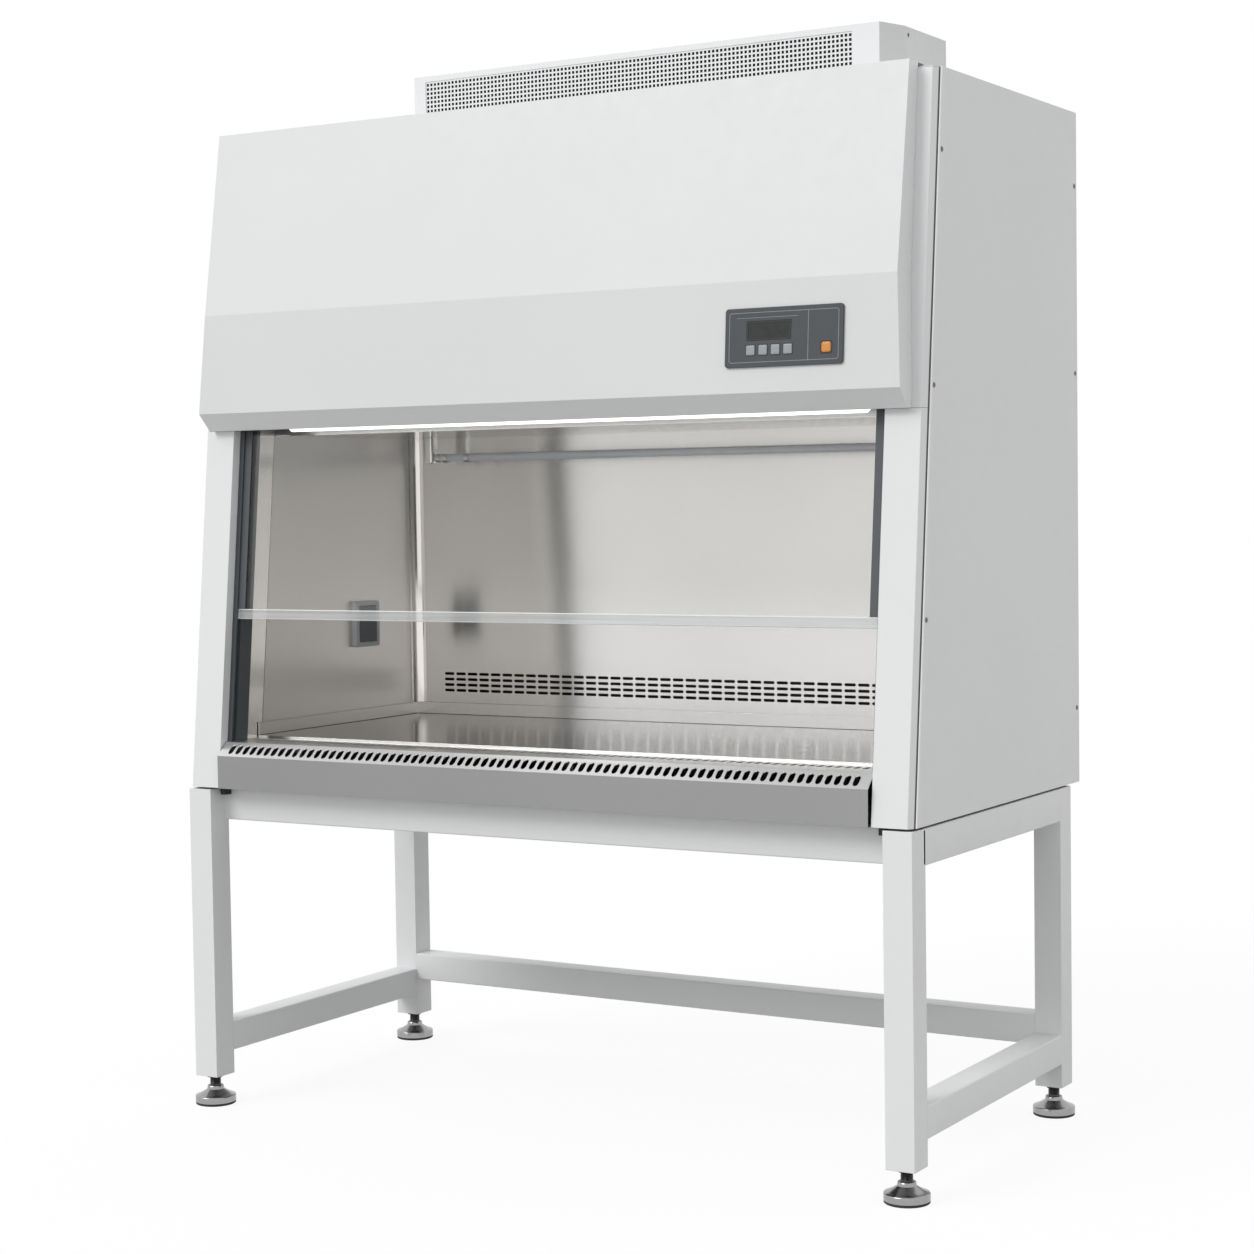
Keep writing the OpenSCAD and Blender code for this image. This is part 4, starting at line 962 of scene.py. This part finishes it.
class CABINET_OT_panels(bpy.types.Operator):
    """Eases the side, top and back panels and the exhaust box"""

    bl_idname = "cabinet.panels"
    bl_label = "Panels and exhaust box"

    def execute(self, context):
        for name in ("side_panel_left", "side_panel_right", "top_panel"):
            softened(name, 0.0005)
        # The back panel's inner face, seen through the rear slots, gets painted shadow
        second(softened("back_panel", 0.0005), "shadow", lambda face: face.normal.y < -0.5)
        # The exhaust box's sides get the shaded copy of the paint: painted shade
        second(softened("exhaust_box", 0.0006, bend=0.002), "paint_side",
               lambda face: abs(face.normal.x) > 0.9)
        return {"FINISHED"}


class CABINET_OT_work_zone(bpy.types.Operator):
    """Eases the front grille, the side walls and the tray, with lit and shaded copies of the steel, and draws
    painted shade along the tray's creases
    """

    bl_idname = "cabinet.work_zone"
    bl_label = "Work zone"

    def execute(self, context):
        near_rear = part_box("rear_liner")[0].y - 0.05
        # The grille's front face gets the sill's shaded copy: painted shade
        second(softened("front_grille", 0.0003, bend=0.0032, segments=1, least=0.5), "sill_face",
               lambda face: face.normal.y < -0.99)
        walls = softened("side_liners", 0.0)
        second(walls, "trim", lambda face: abs(face.normal.x) > 0.98 and 0.01 < face.area < 0.1)
        second(walls, "cove", lambda face: 0.02 < abs(face.normal.x) < 0.98 and face.normal.y < -0.02
               and face.center.y > near_rear)
        tray = softened("work_tray", 0.0004)
        # The tray's back rim and sides get the rear's and the walls' lit copies: painted light
        second(tray, "rear", lambda face: face.normal.y < -0.9)
        second(tray, "wall", lambda face: abs(face.normal.x) > 0.9)
        # Strips of painted shade where the tray's floor meets its sides and back
        piece("tray_crease_shade", tray_crease_shade(), "shadow", "cabinet")
        return {"FINISHED"}


class CABINET_OT_sash(bpy.types.Operator):
    """Eases the clear grip rail at the sash's foot, with a painted highlight along its edges"""

    bl_idname = "cabinet.sash"
    bl_label = "Sash rail"

    def execute(self, context):
        rail = softened("sash_grip_rail", 0.0016, body="sash")
        # The eased edges get the brighter finish: painted highlight
        rail.data.materials.append(FINISHES["rail_edge"])
        rail.modifiers["ease"].material = 1
        return {"FINISHED"}


class CABINET_OT_exhaust(bpy.types.Operator):
    """Makes the exhaust box's perforated sheet and a dark sheet of painted shade behind it"""

    bl_idname = "cabinet.exhaust"
    bl_label = "Exhaust grille"

    def execute(self, context):
        sizes = context.scene.cabinet_size
        if sizes.hole_width >= sizes.hole_pitch:
            raise ValueError("The exhaust grille's holes are as wide as their spacing")
        low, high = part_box("exhaust_grille")
        sheet = perforated(low, high, sizes.hole_pitch, sizes.hole_width)
        piece("perforated_sheet", sheet, "paint", "cabinet", ["exhaust_grille"], smooth=0)
        # A near-black sheet behind the holes: painted shade, so that the holes look dark
        end_gap, edge_gap, behind, thick = 0.004, 0.003, 0.003, 0.002
        shade_sheet = block((low.x + end_gap, high.x - end_gap), (high.y + behind, high.y + behind + thick),
                       (low.z + edge_gap, high.z - edge_gap))
        piece("painted_shade_sheet", shade_sheet, "shadow", "cabinet", smooth=0)
        return {"FINISHED"}


class CABINET_OT_feet(bpy.types.Operator):
    """Makes the levelling feet with their rubber soles"""

    bl_idname = "cabinet.feet"
    bl_label = "Feet"

    def execute(self, context):
        stem_foot = 0.0355
        sole = [(0, 0), (0.0385, 0), (0.0395, 0.001), (0.0396, 0.0032), (0.0385, 0.0041), (0, 0.0041)]
        for side in ("front_left", "front_right", "rear_left", "rear_right"):
            name = "foot_" + side
            middle, top = middle_of(name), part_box(name)[1].z
            centre = (middle.x, middle.y, 0)
            foot = piece("turned_" + name, moved(foot_shape(top), centre), "turned", name, [name], smooth=35)
            second(foot, "thread", lambda face: face.center.z > stem_foot)
            pad = piece("foot_rubber_" + side, moved(revolved(sole, 64), centre), "rubber", name)
        return {"FINISHED"}


class CABINET_OT_screws(bpy.types.Operator):
    """Makes the button heads of the panel screws"""

    bl_idname = "cabinet.screws"
    bl_label = "Panel screws"

    def execute(self, context):
        piece("button_head_screws", button_heads(), "screw", "cabinet", ["panel_screws"], smooth=50)
        return {"FINISHED"}


class CABINET_OT_controls(bpy.types.Operator):
    """Makes the control panel's bezel, printed lines, display surround and keys, with painted shade round the
    display and the keys
    """

    bl_idname = "cabinet.controls"
    bl_label = "Control panel"

    def execute(self, context):
        print_rise, upright_x, over_x, over_z = 0.00025, 0.047, -0.031, 0.0335
        softened("control_bezel", 0.0008, segments=3)
        panel, across, up, out = facing("control_bezel")
        # The printed frame, the upright line beside the power key and the line over the window
        around = ring(width=0.209, height=0.086, radius=0.005, line=0.0011, rise=print_rise, ease=0.0001)
        upright = prism(rounded_loop(0.0011, 0.0845, 0.0004, 3), 0, print_rise)
        over = prism(rounded_loop(0.118, 0.0008, 0.0003, 3), 0, print_rise)
        lines = [set_on(line, across, up, out, panel + across * x + up * z)
                 for line, x, z in ((around, 0, 0), (upright, upright_x, 0), (over, over_x, over_z))]
        piece("panel_lines", joined(lines), "line", "cabinet")
        # A near-black ring round the display window: painted shade at the edge of its recess
        surround = ring(width=0.0850, height=0.0330, radius=0.0008, line=0.0030, rise=0.0007, ease=0.0003)
        window = facing("display_window")[0]
        piece("display_surround", set_on(surround, across, up, out, window), "shadow", "cabinet")
        for number in (1, 2, 3, 4):
            key_pieces("key_%d" % number, "soft_key", SOFT_KEY)
        key_pieces("power_key", "power_key", POWER_KEY)
        return {"FINISHED"}


class CABINET_OT_lamps(bpy.types.Operator):
    """Makes the lamp and the germicidal lamp, with their holders, caps and clips"""

    bl_idname = "cabinet.lamps"
    bl_label = "Lamps"

    def execute(self, context):
        sizes = context.scene.cabinet_size
        into_holder = 0.030
        lamp = tube_glass(half_length("lamp_tube") + into_holder, sizes.lamp_radius)
        piece("lamp_tube_glass", moved(lamp, middle_of("lamp_tube")), "lamp", "cabinet", ["lamp_tube"])
        uv_half, uv_middle = half_length("uv_tube"), middle_of("uv_tube")
        glass, caps = tube_glass(uv_half, sizes.uv_radius), tube_caps(uv_half, sizes.uv_radius)
        piece("uv_tube_glass", moved(glass, uv_middle), "uv", "cabinet", ["uv_tube"])
        piece("uv_tube_caps", moved(caps, uv_middle), "cap", "cabinet", smooth=35)
        canopy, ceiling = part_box("lamp_canopy")[1].z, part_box("ceiling_diffuser")[0].z
        lamp_holders = tube_holders(
            "lamp_tube", canopy, width=0.020, depth=0.018, radius=0.003, rise=0.0045,
            foot_rows=[(0.004, 0), (0.001, 0.001), (0, 0.003)])
        uv_holders = tube_holders(
            "uv_tube", ceiling, width=0.024, depth=0.026, radius=0.006, rise=-0.0125,
            foot_rows=[(0.006, 0), (0.002, 0.0015), (0, 0.005)])
        piece("lamp_holders", lamp_holders, "socket", "cabinet", ["lamp_sockets"], smooth=35)
        piece("uv_holders", uv_holders, "rear", "cabinet", smooth=35)
        piece("uv_clips", tube_clips("uv_tube"), "cap", "cabinet", smooth=35)
        return {"FINISHED"}


class CABINET_OT_outlet(bpy.types.Operator):
    """Rounds the socket outlet's frame and its flap"""

    bl_idname = "cabinet.outlet"
    bl_label = "Socket outlet"

    def execute(self, context):
        softened("outlet_frame", 0.0022, segments=4)
        softened("outlet_flap", 0.0018, segments=3, body="outlet_flap")
        return {"FINISHED"}


class CABINET_OT_stage(bpy.types.Operator):
    """Sets the floor, the soft light and the camera"""

    bl_idname = "cabinet.stage"
    bl_label = "Stage"

    def execute(self, context):
        settings, scene = context.scene.cabinet_stage, context.scene
        self.lay_floor(settings)
        self.light_all_round(settings, scene)
        self.set_key_light(settings)
        self.set_camera(settings, scene)
        scene.view_settings.view_transform = "Standard"
        return {"FINISHED"}

    def lay_floor(self, settings):
        """A wide floor that lights the object in its own colour, and looks white where it isn't in shadow."""
        reach = 40.0
        mesh = bpy.data.meshes.new("studio_floor")
        mesh.from_pydata([(-reach, -reach, 0), (reach, -reach, 0), (reach, reach, 0), (-reach, reach, 0)],
                         [], [(0, 1, 2, 3)])
        floor = linked("studio_floor", mesh)
        n = material("studio_floor")
        colour = tuple(settings.floor_colour)
        own = n.tint(n.noise(1.0, 2), shade(colour, 0.99), colour)
        plain = n.add("BsdfDiffuse", Color=own).outputs[0]
        pale = n.add("BsdfDiffuse", Color=(0.95, 0.95, 0.95, 1)).outputs[0]
        bright = n.add("Emission", Color=(1, 1, 1, 1), Strength=1.0).outputs[0]
        shown = n.mixed(settings.floor_glow, pale, bright)
        mesh.materials.append(n.end(n.mixed(n.looking(), plain, shown)))

    def light_all_round(self, settings, scene):
        """A world that lights with the soft light's strength and looks plain white."""
        scene.world = bpy.data.worlds.new("studio")
        n = Nodes(scene.world, "OutputWorld")
        soft = n.add("Background", Color=(1, 1, 1, 1), Strength=settings.sky).outputs[0]
        white = n.add("Background", Color=(1, 1, 1, 1), Strength=1.0).outputs[0]
        n.end(n.mixed(n.looking(), soft, white))

    def set_key_light(self, settings):
        """A wide, even light from the front left and above."""
        softness, towards = math.radians(30), Vector((0.40, 0.66, -0.62))
        lamp = bpy.data.lights.new("key_light", "SUN")
        lamp.energy = settings.key_light
        lamp.angle = softness
        linked("key_light", lamp).rotation_euler = towards.to_track_quat("-Z", "Y").to_euler()

    def set_camera(self, settings, scene):
        """The camera, at its place and turn."""
        camera = bpy.data.cameras.new("camera")
        camera.sensor_width = 36.0
        camera.lens = settings.lens
        camera.clip_end = 100
        holder = linked("camera", camera)
        holder.location = settings.camera_place
        holder.rotation_euler = settings.camera_turn
        scene.camera = holder


class CABINET_PT_panel(bpy.types.Panel):
    """The cabinet's pieces, finishes and stage"""

    bl_idname = "CABINET_PT_panel"
    bl_label = "Biosafety cabinet"
    bl_space_type = "VIEW_3D"
    bl_region_type = "UI"
    bl_category = "Cabinet"

    def draw(self, context):
        for group in (context.scene.cabinet_finish, context.scene.cabinet_size, context.scene.cabinet_stage):
            box = self.layout.box()
            for name in group.__annotations__:
                box.prop(group, name)
        for operator in OPERATORS:
            self.layout.operator(operator.bl_idname)


OPERATORS = (CABINET_OT_finishes, CABINET_OT_front, CABINET_OT_stand, CABINET_OT_panels, CABINET_OT_work_zone,
             CABINET_OT_sash, CABINET_OT_exhaust, CABINET_OT_feet, CABINET_OT_screws, CABINET_OT_controls,
             CABINET_OT_lamps, CABINET_OT_outlet, CABINET_OT_stage)
GROUPS = (FinishSettings, SizeSettings, StageSettings)


def register():
    """Makes the settings, the operators and the panel known to Blender."""
    for cls in GROUPS + OPERATORS + (CABINET_PT_panel,):
        bpy.utils.register_class(cls)
    bpy.types.Scene.cabinet_finish = bpy.props.PointerProperty(type=FinishSettings)
    bpy.types.Scene.cabinet_size = bpy.props.PointerProperty(type=SizeSettings)
    bpy.types.Scene.cabinet_stage = bpy.props.PointerProperty(type=StageSettings)


def unregister():
    """Takes back what register made."""
    del bpy.types.Scene.cabinet_stage
    del bpy.types.Scene.cabinet_size
    del bpy.types.Scene.cabinet_finish
    for cls in reversed(GROUPS + OPERATORS + (CABINET_PT_panel,)):
        bpy.utils.unregister_class(cls)


def main():
    """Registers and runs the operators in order."""
    register()
    for operator in OPERATORS:
        group, name = operator.bl_idname.split(".")
        getattr(getattr(bpy.ops, group), name)()


if __name__ == "__main__":
    main()
